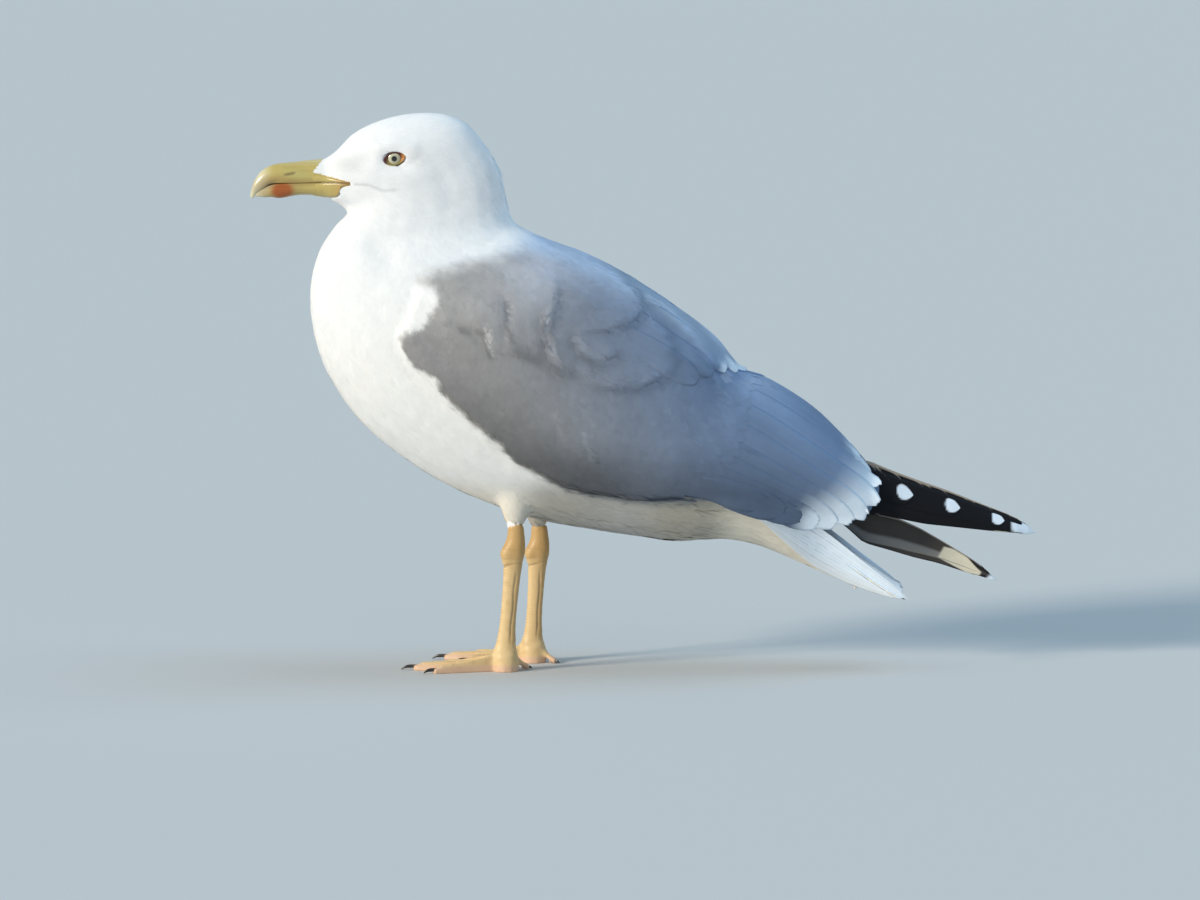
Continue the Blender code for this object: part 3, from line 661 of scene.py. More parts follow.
@dataclass
class Markings:
    """The colours that skin and coat share, painted light and shade included."""

    grey_edge: float = 2.4
    soft_edge: float = 9.0
    wander: float = 1.6
    belly_painted_shadow: float = 0.46
    crease_painted_shade: float = 0.17
    # small greyish patches of painted shade on the lores and behind the eye: place, radius and strength
    face_painted_shades: tuple = (((-190, 328), 10, 0.17), ((-147, 332.5), 8, 0.12))

    def greyness(self, points: Array, inset: float = 0.0) -> Array:
        """How much of the mantle's grey there is at places, from 0 to 1.

        Args:
            points: The places, one to a row.
            inset: How far the grey keeps back from its border.

        Returns:
            One share to a place.
        """
        waves = ripple(points, 17.0) + ripple(points, 7.0)
        depth = inside(GREY_OUTLINE, points[:, [0, 2]]) - inset + self.wander * waves
        edge = self.grey_edge + (self.soft_edge - self.grey_edge) * smooth(240, 262, points[:, 2])
        share = np.clip((depth / edge + 1) / 2, 0, 1)
        return share * share * (3 - 2 * share)

    def body(self, points: Array, inset: float = 0.0) -> Array:
        """The colour of the small plumage at places, with painted shade under the wing, in the face's hollows and
        along the gape's crease.

        Args:
            points: The places, in millimetres.
            inset: How far the grey keeps back from its border.

        Returns:
            One linear colour to a row.
        """
        x, z = points[:, 0], points[:, 2]
        cream = 0.55 * smooth(230, 150, z) * smooth(20, -60, x) + 0.95 * smooth(-20, 30, x)
        cream = np.clip(cream, 0, 0.85) * smooth(130, 108, z) + 0.22 * smooth(270, 180, z)
        white = mixed(Paint.WHITE, Paint.CREAM, np.clip(cream, 0, 1))
        # painted shadow on the flank and belly under the wing
        shade = smooth(-92, -60, x) * smooth(62, 38, x) * smooth(134, 116, z)
        white = white * (1 - self.belly_painted_shadow * shade)[:, None]
        # painted shade in the hollows of the lores and behind the eye
        for place, radius, amount in self.face_painted_shades:
            gap = norm((points[:, [0, 2]] - place) / (radius, radius * 0.6), axis=1)
            white = white * (1 - amount * np.exp(-gap**2))[:, None]
        # painted shade along the crease
        crease = bell((from_line(GAPE_CREASE, points[:, [0, 2]]), 0, 0.9))
        white = white * (1 - self.crease_painted_shade * crease)[:, None]
        return mixed(white, self.grey(points), self.greyness(points, inset))

    def grey(self, points: Array) -> Array:
        """The grey of mantle and wings at places, with painted light and shade: warm sunlight in front, bluish sky
        shade behind, painted sky light along the back and painted shade towards the lower edge.

        Args:
            points: The places, one to a row.

        Returns:
            One linear colour to a row.
        """
        x, z, flat = points[:, 0], points[:, 2], points[:, [0, 2]]
        # painted light: warm sunlit grey in front, turning to bluish sky-shaded grey behind
        tints = mixed(Paint.GREY_SUNLIT, Paint.GREY_SKY_SHADED, smooth(-110, 60, x + 0.3 * (z - 200)))
        amount = 1 + 0.05 * ripple(points, 31.0) + 0.04 * ripple(points, 13.0)
        # painted sky light: the grey gets brighter towards the back's top line
        back = np.interp(x, (-110, -60, 0, 60, 140), (285, 292, 262, 212, 145))
        amount *= 1 + 0.6 * smooth(44, 2, back - z) * smooth(-100, -50, x)
        above = -beside(SHOULDER_LINE, flat)[0]
        # above the shoulder line: painted sky highlight, bluish behind and paler towards white in front
        tints = layered(
            tints,
            (Paint.GREY_SKY_HIGHLIGHT, smooth(-3, 9, above) * smooth(100, 40, x)),
            (Paint.WHITE, 0.45 * smooth(-1, 8, above) * smooth(-62, -90, x)),
        )
        # painted sunlight: brighter high on the front of the mantle
        amount *= 1 + 0.28 * smooth(215, 240, z) * smooth(-45, -75, x)
        # painted shade: darker towards the lower edge of the wing, which faces down, most of all at its front
        low = smooth(46, 4, inside(GREY_OUTLINE, flat)) * smooth(215, 165, z)
        amount *= 1 - (0.46 - 0.14 * smooth(-40, -80, x)) * low
        amount *= 1 - 0.3 * low * smooth(25, -35, x) * smooth(165, 135, z)
        # painted sunlight: a brighter patch on the upper mantle
        amount *= 1 + 0.38 * bell((x, -64, 28), (z, 257, 13))
        # painted highlight and shadow along the edges of the feather groups
        for lobe in LOBES:
            amount *= lobe.relief(flat)[1]
        # painted shade in the partings, and pale shafts
        for streak in STREAKS:
            amount *= streak.colour(flat)
        return tints * amount[:, None]


# --- surfaces ---


@dataclass
class Surface:
    """A mesh that feathers are laid on, in millimetres."""

    mesh: Mesh
    points: Array = field(init=False)
    corners: Array = field(init=False)
    normals: Array = field(init=False)
    tree: BVHTree = field(init=False)

    def __post_init__(self) -> None:
        """Reads the mesh as triangles and makes the search tree."""
        self.mesh.calc_loop_triangles()
        self.points = spots_of(self.mesh)
        self.corners = read(self.mesh.loop_triangles, "vertices", 3, np.int32)
        shading = unit(outward_of(self.mesh))
        self.normals = unit(shading[self.corners].mean(axis=1))
        self.tree = BVHTree.FromPolygons(self.points.tolist(), self.corners.tolist())

    def nearest(self, points: Array) -> tuple[Array, Array]:
        """The closest places of the surface to some points.

        Args:
            points: Points in millimetres, in an array of any shape that ends in 3.

        Returns:
            The places and the outward directions there, in arrays of the same shape.
        """
        find = self.tree.find_nearest
        found = [find(point) for point in points.reshape(-1, 3).tolist()]
        places = np.array([hit[0][:] for hit in found])
        normals = self.normals[[hit[2] for hit in found]]
        return places.reshape(points.shape), normals.reshape(points.shape)

    def met(self, starts: Array, ways: Array, spares: Array) -> tuple[Array, Array]:
        """The places where rays meet the surface, or else the closest ones to some spare points.

        Args:
            starts: Where the rays start, one to a row.
            ways: Their directions.
            spares: The points that stand in where a ray meets nothing.

        Returns:
            The places and the outward directions there.
        """
        cast, find = self.tree.ray_cast, self.tree.find_nearest
        rays = zip(starts.tolist(), ways.tolist(), spares.tolist())
        hits = [hit if (hit := cast(start, way))[0] is not None else find(spare) for start, way, spare in rays]
        return np.array([hit[0][:] for hit in hits]), self.normals[[hit[2] for hit in hits]]

    def free(self, points: Array, directions: Array, reach: float, start: float = 1.2) -> Array:
        """Whether nothing of the surface lies within reach of points in given directions.

        Args:
            points: The places, one to a row.
            directions: The ways to look.
            reach: How far to look.
            start: How far out the look begins.

        Returns:
            One answer to a point.
        """
        cast = self.tree.ray_cast
        pairs = zip((points + directions * start).tolist(), directions.tolist())
        return np.array([cast(point, way, reach)[0] is None for point, way in pairs])


def read(items: bpy.types.bpy_prop_collection, name: str, width: int, kind: type = np.float32) -> Array:
    """One property of many items as rows of numbers.

    Args:
        items: A mesh's vertices, triangles or the like.
        name: The property.
        width: How many numbers it has.
        kind: The numbers' type in memory.

    Returns:
        The rows, as floats or whole numbers.
    """
    flat = np.zeros(len(items) * width, kind)
    items.foreach_get(name, flat)
    rows = flat.reshape(-1, width)
    return rows if kind is np.int32 else rows.astype(float)


def spots_of(mesh: Mesh) -> Array:
    """The places of a mesh's vertices, in millimetres."""
    return read(mesh.vertices, "co", 3) / MM


def outward_of(mesh: Mesh) -> Array:
    """The outward directions at a mesh's vertices."""
    return read(mesh.vertex_normals, "vector", 3)


def worked(name: str, shape: bmesh.types.BMesh) -> Mesh:
    """A new mesh from a shape, which is used up.

    Args:
        name: The mesh's name.
        shape: The finished shape.

    Returns:
        The mesh.
    """
    mesh = bpy.data.meshes.new(name)
    shape.to_mesh(mesh)
    shape.free()
    return mesh


def evaluated(obj: Object) -> Mesh:
    """The mesh of an object with its modifiers, which is then removed.

    Args:
        obj: The object.

    Returns:
        The mesh.
    """
    mesh = bpy.data.meshes.new_from_object(obj.evaluated_get(bpy.context.evaluated_depsgraph_get()))
    bpy.data.objects.remove(obj, do_unlink=True)
    return mesh


def new_object(name: str, mesh: Mesh) -> Object:
    """An object in the scene for a mesh.

    Args:
        name: Its name.
        mesh: Its mesh.

    Returns:
        The object.
    """
    obj = bpy.data.objects.new(name, mesh)
    bpy.context.scene.collection.objects.link(obj)
    return obj


def remeshed(name: str, copies: list[Mesh], voxel: float, rounds: int) -> Mesh:
    """Copies of solids joined into one smooth closed mesh.

    Args:
        name: The new mesh's name.
        copies: The solids' refined copies, which are used up.
        voxel: The size of the new faces, in millimetres.
        rounds: How often the result is smoothed.

    Returns:
        The joined mesh.
    """
    shape = bmesh.new()
    for copy in copies:
        shape.from_mesh(copy)
        bpy.data.meshes.remove(copy)
    obj = new_object(name, worked(name, shape))
    remesh = obj.modifiers.new("one skin", "REMESH")
    remesh.mode = "VOXEL"
    remesh.voxel_size = voxel * MM
    soften = obj.modifiers.new("soften", "SMOOTH")
    soften.factor = 0.5
    soften.iterations = rounds
    joined = evaluated(obj)
    joined.name = name
    joined.materials.clear()
    return joined


def relaxed(mesh: Mesh, chosen: Array, rounds: int) -> None:
    """Smooths the chosen vertices of a mesh.

    Args:
        mesh: The mesh.
        chosen: Which vertices move.
        rounds: How often they are smoothed.
    """
    shape = bmesh.new()
    shape.from_mesh(mesh)
    soft = [vertex for vertex, pick in zip(shape.verts, chosen) if pick]
    for _ in range(rounds):
        bmesh.ops.smooth_vert(shape, verts=soft, factor=0.5, use_axis_x=True, use_axis_y=True, use_axis_z=True)
    shape.to_mesh(mesh)
    shape.free()


def refined(
    name: str, node: Object, levels: int, swell: float, sharp: float = 180.0
) -> Mesh:
    """A smooth, finer copy of one solid.

    Args:
        name: The new mesh's name.
        node: The solid.
        levels: Rounds of subdivision.
        swell: How far the copy is made fuller, in millimetres, to keep its outline.
        sharp: Edges that turn by more than this many degrees stay crisp.

    Returns:
        The finer mesh.
    """
    copy = bmesh.new()
    copy.from_mesh(node.data)
    bmesh.ops.remove_doubles(copy, verts=copy.verts, dist=1e-5)
    bmesh.ops.join_triangles(
        copy, faces=copy.faces, angle_face_threshold=math.radians(30), angle_shape_threshold=math.radians(60)
    )
    bmesh.ops.recalc_face_normals(copy, faces=copy.faces)
    crease = copy.edges.layers.float.new("crease_edge")
    for edge in copy.edges:
        if edge.is_manifold and edge.calc_face_angle() > math.radians(sharp):
            edge[crease] = 0.8
    obj = new_object(name, worked(name, copy))
    divide = obj.modifiers.new("finer", "SUBSURF")
    divide.levels = divide.render_levels = levels
    mesh = evaluated(obj)
    mesh.name = name
    mesh.materials.clear()
    normals = outward_of(mesh)
    write_points(mesh, spots_of(mesh) + normals * swell)
    return mesh


def write_points(mesh: Mesh, points: Array) -> None:
    """Moves a mesh's vertices to points in millimetres."""
    mesh.vertices.foreach_set("co", (points * MM).astype(np.float32).ravel())
    mesh.update()


def write_tints(mesh: Mesh, tints: Array) -> None:
    """Gives each vertex its colour.

    Args:
        mesh: The mesh.
        tints: One linear colour to a vertex.
    """
    rgba = np.ones((len(mesh.vertices), 4), np.float32)
    rgba[:, :3] = np.clip(tints, 0.0, 1.0)
    layer = mesh.color_attributes.get(TINT) or mesh.color_attributes.new(TINT, "FLOAT_COLOR", "POINT")
    layer.data.foreach_set("color", rgba.ravel())


def write_map(mesh: Mesh, name: str, spots: Array) -> None:
    """Gives a mesh a UV map from one spot to a vertex.

    Args:
        mesh: The mesh.
        name: The map's name.
        spots: One spot to a vertex.
    """
    layer = mesh.uv_layers.get(name) or mesh.uv_layers.new(name=name)
    corners = np.zeros(len(mesh.loops), np.int32)
    mesh.loops.foreach_get("vertex_index", corners)
    layer.uv.foreach_set("vector", spots[corners].astype(np.float32).ravel())


def placed(
    name: str, mesh: Mesh, material: Material, nodes: tuple[str, ...] = ()
) -> Object:
    """Puts a finished piece on the bird.

    Args:
        name: The piece's name.
        mesh: Its mesh.
        material: Its finish.
        nodes: The CAD nodes that it stands for.

    Returns:
        The piece.
    """
    mesh.materials.clear()
    mesh.materials.append(material)
    mesh.shade_smooth()
    obj = new_object(name, mesh)
    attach(obj, ROOT_BODY)
    if nodes:
        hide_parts(*nodes)
    log.info("%s: %d faces", name, len(mesh.polygons))
    return obj


# The line through the middle of the body that the bake's map is unrolled round.
SPINE: list[Place] = [
    (-256, 318), (-206, 319), (-165, 330), (-138, 322), (-136, 300), (-142, 270), (-132, 235), (-100, 203),
    (-55, 182), (0, 160), (60, 135), (110, 95), (150, 62), (190, 40),
]


def unrolled(points: Array) -> tuple[Array, Array]:
    """Spots of places on the body once its skin is unrolled round the spine.

    Args:
        points: Places in millimetres, one to a row.

    Returns:
        The share of a turn round the spine and the share of its length.
    """
    off, reach = beside(SPINE, points[:, [0, 2]])
    return 0.5 + np.arctan2(points[:, 1], -off) / math.tau, reach


# --- feathers ---


@dataclass(frozen=True)
class Vane:
    """The form of one kind of feather: its mesh, outline and how it lies.

    The shares run along the feather from its root: it is fullest from `fullest` on, its tip starts to close
    at `shoulder`, and its end is `blunt` of its full width. `form_shade` is how far it is shaded as the
    body's own surface instead of as a separate sheet.
    """

    rows: int = 4
    columns: int = 3
    root_width: float = 0.6
    fullest: float = 0.45
    shoulder: float = 0.5
    blunt: float = 0.3
    fringe: float = 0.0
    lift: float = 0.15
    sink: float = 2.0
    camber: float = 0.06
    roll: float = 0.04
    spread: float = 0.06
    draped: bool = False
    form_shade: float = 0.8
    crowding: float = 1.5

    @property
    def steps(self) -> Array:
        """Shares of the length at which the rows lie, closer together at the tip."""
        return 1 - (1 - np.linspace(0, 1, self.rows)) ** self.crowding


@dataclass
class Batch:
    """Feathers of one kind as grids of points, with their places along and across each vane."""

    points: Array
    along: Array
    across: Array
    tints: Array
    bake: Array
    outward: Array | None = None
    form_shade: float = 0.0


@dataclass
class Plumage:
    """Lays feathers on a surface."""

    surface: "Surface | WingFace"
    random: np.random.Generator

    def lay(
        self,
        vane: Vane,
        centres: Array,
        normals: Array,
        lengths: Array,
        half_widths: Array,
        depths: Array,
        heights: Array | float = 0.0,
        sides: Array | float = 1.0,
    ) -> Batch:
        """Makes feathers along their shafts.

        Args:
            vane: The feather's form.
            centres: The shafts, as rows of points on the surface.
            normals: The outward directions at those points.
            lengths: Each feather's length.
            half_widths: Each feather's half width.
            depths: How deep each root lies under the surface.
            heights: How much higher each whole feather lies.
            sides: The side of the bird, which way the overlap goes.

        Returns:
            The feathers, still white.
        """
        count = len(centres)
        ways = unit(np.gradient(centres, axis=1))
        normals = along_surface(normals, ways)
        sideways = np.cross(normals, ways)
        s = vane.steps[None, :, None]
        t = np.linspace(-1, 1, vane.columns)[None, None, :]
        rise = vane.root_width + (1 - vane.root_width) * smooth(0.0, vane.fullest, s)
        closing = np.clip((s - vane.shoulder) / (1 - vane.shoulder), 0, 1)
        rise = rise * np.sqrt(1 - (1 - vane.blunt**2) * closing**2)
        uneven = self.random.uniform(-1, 1, (count, 1, vane.columns)) * vane.fringe * s**3
        x = t * rise * half_widths[:, None, None]
        back = uneven * lengths[:, None, None]
        spots = centres[:, :, None] + sideways[:, :, None] * x[..., None] + ways[:, :, None] * back[..., None]
        out = np.broadcast_to(normals[:, :, None], spots.shape)
        if vane.draped:
            spots, out = self.surface.nearest(spots)
        random_height = self.random.uniform(-1, 1, count) * vane.spread
        height = -depths[:, None, None] * (1 - s) ** vane.sink + vane.lift * s**2
        height = height + (random_height + heights)[:, None, None]
        turned = (vane.roll * np.asarray(sides) * np.ones(count))[:, None, None]
        height = height + (turned * t * rise - vane.camber * (t * rise) ** 2) * half_widths[:, None, None]
        points = spots + out * height[..., None]
        shape = points.shape[:3]
        along, across = np.broadcast_to(s, shape), np.broadcast_to(t, shape)
        bake = self.patches(centres[:, 0], along, across)
        return Batch(points, along, across, np.ones(points.shape), bake, out, vane.form_shade)

    def patches(self, roots: Array, along: Array, across: Array) -> Array:
        """The bake's patch of each feather, round its root's place on the unrolled skin.

        Args:
            roots: The roots' places.
            along: Shares along the vanes.
            across: Places across them, from -1 to 1.

        Returns:
            The spots on the map.
        """
        u, v = unrolled(roots)
        wide = u[:, None, None] + BAKE_PATCH * 0.5 * across
        long = v[:, None, None] + BAKE_PATCH * (along - 0.5)
        return np.stack([wide, long], axis=-1)

    def shafts(self, vane: Vane, roots: Array, ways: Array, lengths: Array) -> tuple[Array, Array]:
        """Walks over the surface from each root.

        Args:
            vane: The feather's form, which says how many steps.
            roots: The roots' places.
            ways: The directions in which the feathers point.
            lengths: Their lengths.

        Returns:
            The places of the shafts and the outward directions there.
        """
        places, normals = self.surface.nearest(roots)
        centres, outs = [places], [normals]
        for step in np.diff(vane.steps):
            ways = along_surface(ways, normals)
            places, normals = self.surface.nearest(places + ways * (lengths * step)[:, None])
            centres.append(places)
            outs.append(normals)
        return np.stack(centres, axis=1), np.stack(outs, axis=1)


def woven(name: str, batches: list[Batch]) -> Mesh:
    """All feathers of some batches as one mesh with its colours, maps and shading.

    Args:
        name: The mesh's name.
        batches: The feathers.

    Returns:
        The mesh.
    """
    points, quads, tints, vanes, bakes = [], [], [], [], []
    start = 0
    for batch in batches:
        count, rows, columns = batch.points.shape[:3]
        index = start + np.arange(count * rows * columns).reshape(count, rows, columns)
        corners = (index[:, :-1, :-1], index[:, 1:, :-1], index[:, 1:, 1:], index[:, :-1, 1:])
        quads.append(np.stack(corners, axis=-1).reshape(-1, 4))
        points.append(batch.points.reshape(-1, 3))
        tints.append(batch.tints.reshape(-1, 3))
        vanes.append(np.stack([batch.across * 0.5 + 0.5, batch.along], axis=-1).reshape(-1, 2))
        bakes.append(batch.bake.reshape(-1, 2))
        start += count * rows * columns
    mesh = bpy.data.meshes.new(name)
    mesh.from_pydata((np.concatenate(points) * MM).tolist(), [], np.concatenate(quads).tolist())
    write_tints(mesh, np.concatenate(tints))
    write_map(mesh, VANE_MAP, np.concatenate(vanes))
    write_map(mesh, BAKE_MAP, np.concatenate(bakes))
    if any(batch.form_shade for batch in batches):
        mesh.shade_smooth()
        own = outward_of(mesh)
        outs = [batch.points * 0 + (0, 0, 1) if batch.outward is None else batch.outward for batch in batches]
        form = np.concatenate([out.reshape(-1, 3) for out in outs])
        share = np.concatenate([np.full(batch.along.size, batch.form_shade) for batch in batches])
        mesh.normals_split_custom_set_from_vertices(unit(mixed(own, form, share)).tolist())
    return mesh


def feathered(
    name: str, batches: list[Batch], finish: "FeatherFinish | SkinFinish",
    nodes: tuple[str, ...] = (), walled: bool = True, shades: bool = False,
) -> Object:
    """Puts a piece of feathers, or of bare skin made the same way, on the bird.

    Args:
        name: The piece's name.
        batches: Its feathers.
        finish: Their finish.
        nodes: The CAD nodes that it stands for.
        walled: Whether its sheets get a wall, inwards.
        shades: Whether it throws a shadow.

    Returns:
        The piece.
    """
    obj = placed(name, woven(name, batches), finish.material(), nodes)
    obj.visible_shadow = shades
    if walled:
        wall = obj.modifiers.new("wall", "SOLIDIFY")
        wall.thickness = FEATHER_WALL * MM
        wall.offset = -1.0
    return obj


# --- the body ---


@dataclass(frozen=True)
class Shank:
    """Where one shank stands: its axis on the floor, its lean and its height beside the left one's."""

    x: float
    y: float
    lean: float
    height: float


SHANKS = {Side.LEFT: Shank(-90.6, -23.0, 0.083, 1.0), Side.RIGHT: Shank(-73.0, 21.0, 0.055, 0.94)}

FLESH = ("head", "neck", "breast", "belly", "rump", "thigh_left", "thigh_right", "wing_left", "wing_right")
# The lower edge of the scapulars, which lie over the wing coverts.
SCAPULAR_EDGE: list[Place] = [
    (-134, 236), (-128.8, 228), (-110, 224), (-96.7, 211), (-70.1, 205.2), (-52.5, 197.8),
    (-41.5, 195.7), (-23.9, 191.9), (-1.8, 190.5), (17.7, 191.6), (41.4, 192.9), (58, 193), (66, 205),
]


@dataclass(frozen=True)
class Fold:
    """A soft groove or ridge of the skin along a line in the side view; ridges have a negative depth."""

    line: list[Place]
    width: float
    depth: float


FOLDS = [
    # the eye's hollow, the brow over it and the cheek under it
    Fold([(-165, 330.5), (-157, 330.5)], 5.5, 1.3), Fold([(-171, 339.5), (-160, 341.5), (-149, 339.5)], 4.2, -1.3),
    Fold([(-176, 323), (-160, 319), (-146, 322)], 6, -0.6),
    Fold([(-157, 326.5), (-150, 328.5), (-146, 333)], 1.3, 0.5),
    # the lores, and the line from the gape
    Fold([(-205, 326), (-192, 329), (-178, 331)], 3.5, 0.45),
    Fold([(-190, 315.8), (-184, 315), (-178, 314.4), (-168, 311.5), (-160, 307)], 1.7, 0.55),
    # the jaw over the throat, the hollow behind the ear and the dent in the breast's side
    Fold([(-192, 302), (-176, 296), (-160, 293)], 4, 0.8), Fold([(-128, 318), (-122, 306)], 8, 1),
    Fold([(-170, 276), (-166, 268)], 9, 2.4), Fold([(-190, 286), (-170, 283), (-150, 281)], 6, 0.8),
    # the wing's bend and its front edge over the breast
    Fold([(-150, 216), (-140, 200), (-125, 182), (-100, 158)], 7, -1.2),
    Fold([(-160, 212), (-150, 197), (-134, 180), (-112, 160), (-90, 140)], 4, 1),
    Fold([(-122, 229), (-112, 225), (-103, 219)], 3, 1.3), Fold([(-90, 244), (-87, 232), (-90, 221)], 2.6, 1.2),
]


@dataclass
class Body:
    """The skin of the whole bird and the small feathers that cover it."""

    nodes: dict[str, Object]
    markings: Markings
    lay: Lay
    random: np.random.Generator
    voxel: float = 2.0
    fill: float = 0.45
    softening: int = 6
    scapular_rise: float = 1.5
    spacing: float = 0.4
    bill_core: tuple = (-235.0, 0.0, 318.0)
    # half length and half height of the skin's hollow round the eye, and of the patch where no feather grows
    eye_hollow: tuple = (6.3, 4.2)
    eye_clearing: tuple = (7.6, 4.7)
    bare_level: dict = field(default_factory=lambda: {Side.LEFT: 96.5, Side.RIGHT: 97.5})
    form: Surface = field(init=False)

    def __post_init__(self) -> None:
        """Joins the solids into the outer form that the tips of the coat reach."""
        names = (*FLESH, "bill_upper", "bill_lower", "tail", "eye_left", "eye_right")
        copies = [refined("copy", self.nodes[name], 0, self.fill) for name in names]
        mesh = remeshed("outer_form", copies, self.voxel, self.softening)
        points, normals = spots_of(mesh), outward_of(mesh)
        write_points(mesh, points + normals * self.sculpted(points, normals)[:, None])
        self.form = Surface(mesh)

    def sculpted(self, points: Array, normals: Array) -> Array:
        """How far folds and the scapulars' edge move the form outwards at places.

        Args:
            points: The places, one to a row.
            normals: The outward directions there.

        Returns:
            One rise to a place, in millimetres.
        """
        flat = points[:, [0, 2]]
        rise = np.zeros(len(points))
        for fold in FOLDS:
            rise -= fold.depth * bell((from_line(fold.line, flat), 0, fold.width))
        for lobe in LOBES:
            rise += lobe.relief(flat)[0]
        shoulder = [*SCAPULAR_EDGE, (40.0, 232.0), (0.0, 262.0), (-60.0, 292.0), (-100.0, 275.0), (-142.0, 258.0)]
        depth = inside(shoulder, flat)
        edge = from_line(SCAPULAR_EDGE, flat)
        front = 0.45 + 0.55 * smooth(30, -60, points[:, 0])
        rise += self.scapular_rise * front * smooth(-0.5, 2.5, depth) * smooth(34, 6, edge)
        return rise * smooth(0.15, 0.5, np.abs(normals[:, 1]))

    def depth(self, points: Array, lengths: Array) -> Array:
        """How deep the skin lies under the coat: less on the face and in the thin sheets of wing and tail."""
        return np.clip(0.055 * lengths, 0.3, 0.75) * (1 - 0.4 * smooth(70, 95, points[:, 0]))

    def build_skin(self, finish: SkinFinish) -> Object:
        """The one skin under the whole coat, which narrows inside the horn of the bill.

        Args:
            finish: The skin's finish.

        Returns:
            The piece.
        """
        mesh = self.form.mesh.copy()
        points, normals = self.form.points, outward_of(mesh)
        depth = self.depth(points, self.lay.at(points)[1]) + 2.0 * smooth(-206, -211, points[:, 0])
        depth += 1.5 * smooth(-0.8, 1, inside(BARE_OUTLINE, points[:, [0, 2]]))
        gap = norm((points[:, [0, 2]] - (EYE_CENTRE[0], EYE_CENTRE[2])) / self.eye_hollow, axis=1)
        depth += 3.5 * smooth(1.1, 0.75, gap)
        sunk = points - normals * depth[:, None]
        share = 0.85 * smooth(-228, -240, points[:, :1])
        write_points(mesh, sunk + (np.array(self.bill_core) - sunk) * share)
        write_tints(mesh, mixed(self.markings.body(points, 1.5), Paint.LEG, smooth(0, 1, self.bare_top(points))))
        return placed("skin", mesh, finish.material(), FLESH)

    def bare_top(self, points: Array) -> Array:
        """How far places lie inside the ends of the thighs, where the bare leg begins, in millimetres.

        Args:
            points: The places, one to a row.

        Returns:
            One distance to a place, negative outside.
        """
        best = np.full(len(points), -9.0)
        for side, shank in SHANKS.items():
            axis = np.stack([shank.x + shank.lean * points[:, 2], np.full(len(points), shank.y)], axis=1)
            off = 7.5 - norm(points[:, :2] - axis, axis=1)
            best = np.maximum(best, np.minimum(off, self.bare_level[side] - points[:, 2]))
        return best

    def scattered(self, share: float) -> Array:
        """Even but irregular places all over the form, close together where feathers are small.

        Args:
            share: The gap between places, as a share of the feathers' size there.

        Returns:
            The places, one to a row.
        """
        form = self.form
        corners = form.points[form.corners]
        middles = corners.mean(axis=1)
        areas = 0.5 * norm(np.cross(corners[:, 1] - corners[:, 0], corners[:, 2] - corners[:, 0]), axis=1)
        _, lengths, widths = self.lay.at(middles)
        share = share * (1 - 0.15 * smooth(150, 110, middles[:, 2]))
        gaps = share * np.sqrt(lengths * widths) * (1 - 0.36 * self.markings.greyness(middles))
        wanted = areas / gaps**2
        count = int(2.6 * wanted.sum())
        chosen = self.random.choice(len(middles), count, p=wanted / wanted.sum())
        u, v = self.random.random((2, count))
        flip = u + v > 1
        u, v = np.where(flip, 1 - u, u), np.where(flip, 1 - v, v)
        a, b, c = corners[chosen].transpose(1, 0, 2)
        spots = a + (b - a) * u[:, None] + (c - a) * v[:, None]
        near = gaps[chosen]
        kept = []
        bands = (0.0, 0.7, 1.0, 1.4, 2.0, 2.8, 4.0, 6.0, 99.0)
        for low, high in zip(bands, bands[1:]):
            band = np.flatnonzero((near >= low) & (near < high))
            kept.append(self.thinned(spots[band], near[band]))
        return np.concatenate(kept)

    def thinned(self, spots: Array, gaps: Array) -> Array:
        """Leaves out places that lie closer to an earlier one than their gap.

        Args:
            spots: The places, one to a row.
            gaps: The least gap at each.

        Returns:
            The places that stay.
        """
        if not len(spots):
            return spots
        cell = float(gaps.max())
        cells: dict[tuple[int, int, int], list[tuple]] = {}
        near = [(i, j, k) for i in (-1, 0, 1) for j in (-1, 0, 1) for k in (-1, 0, 1)]
        kept = []
        for spot, gap in zip(spots.tolist(), gaps.tolist()):
            x, y, z = spot
            key = (int(x // cell), int(y // cell), int(z // cell))
            limit = gap * gap
            for i, j, k in near:
                others = cells.get((key[0] + i, key[1] + j, key[2] + k), ())
                if any((x - a) ** 2 + (y - b) ** 2 + (z - c) ** 2 < limit for a, b, c in others):
                    break
            else:
                cells.setdefault(key, []).append((x, y, z))
                kept.append(spot)
        return np.array(kept).reshape(-1, 3)

    def grows(self, roots: Array, tips: Array) -> Array:
        """Which feathers grow: none on horn, over the eyes, or where the large feathers show.

        Args:
            roots: The feathers' roots.
            tips: Their tips.

        Returns:
            One answer to a feather.
        """
        keep = (inside(BARE_OUTLINE, roots[:, [0, 2]]) < 0) & (inside(BARE_OUTLINE, tips[:, [0, 2]]) < 0.6)
        for ends in (roots, tips):
            gap = (ends[:, [0, 2]] - (EYE_CENTRE[0] + 0.2, EYE_CENTRE[2])) / self.eye_clearing
            keep &= norm(gap, axis=1) > 1.0
        for outline in LARGE_FEATHER_OUTLINES:
            keep &= inside(outline, roots[:, [0, 2]]) < 0
        return keep & (self.bare_top(roots) < 0)

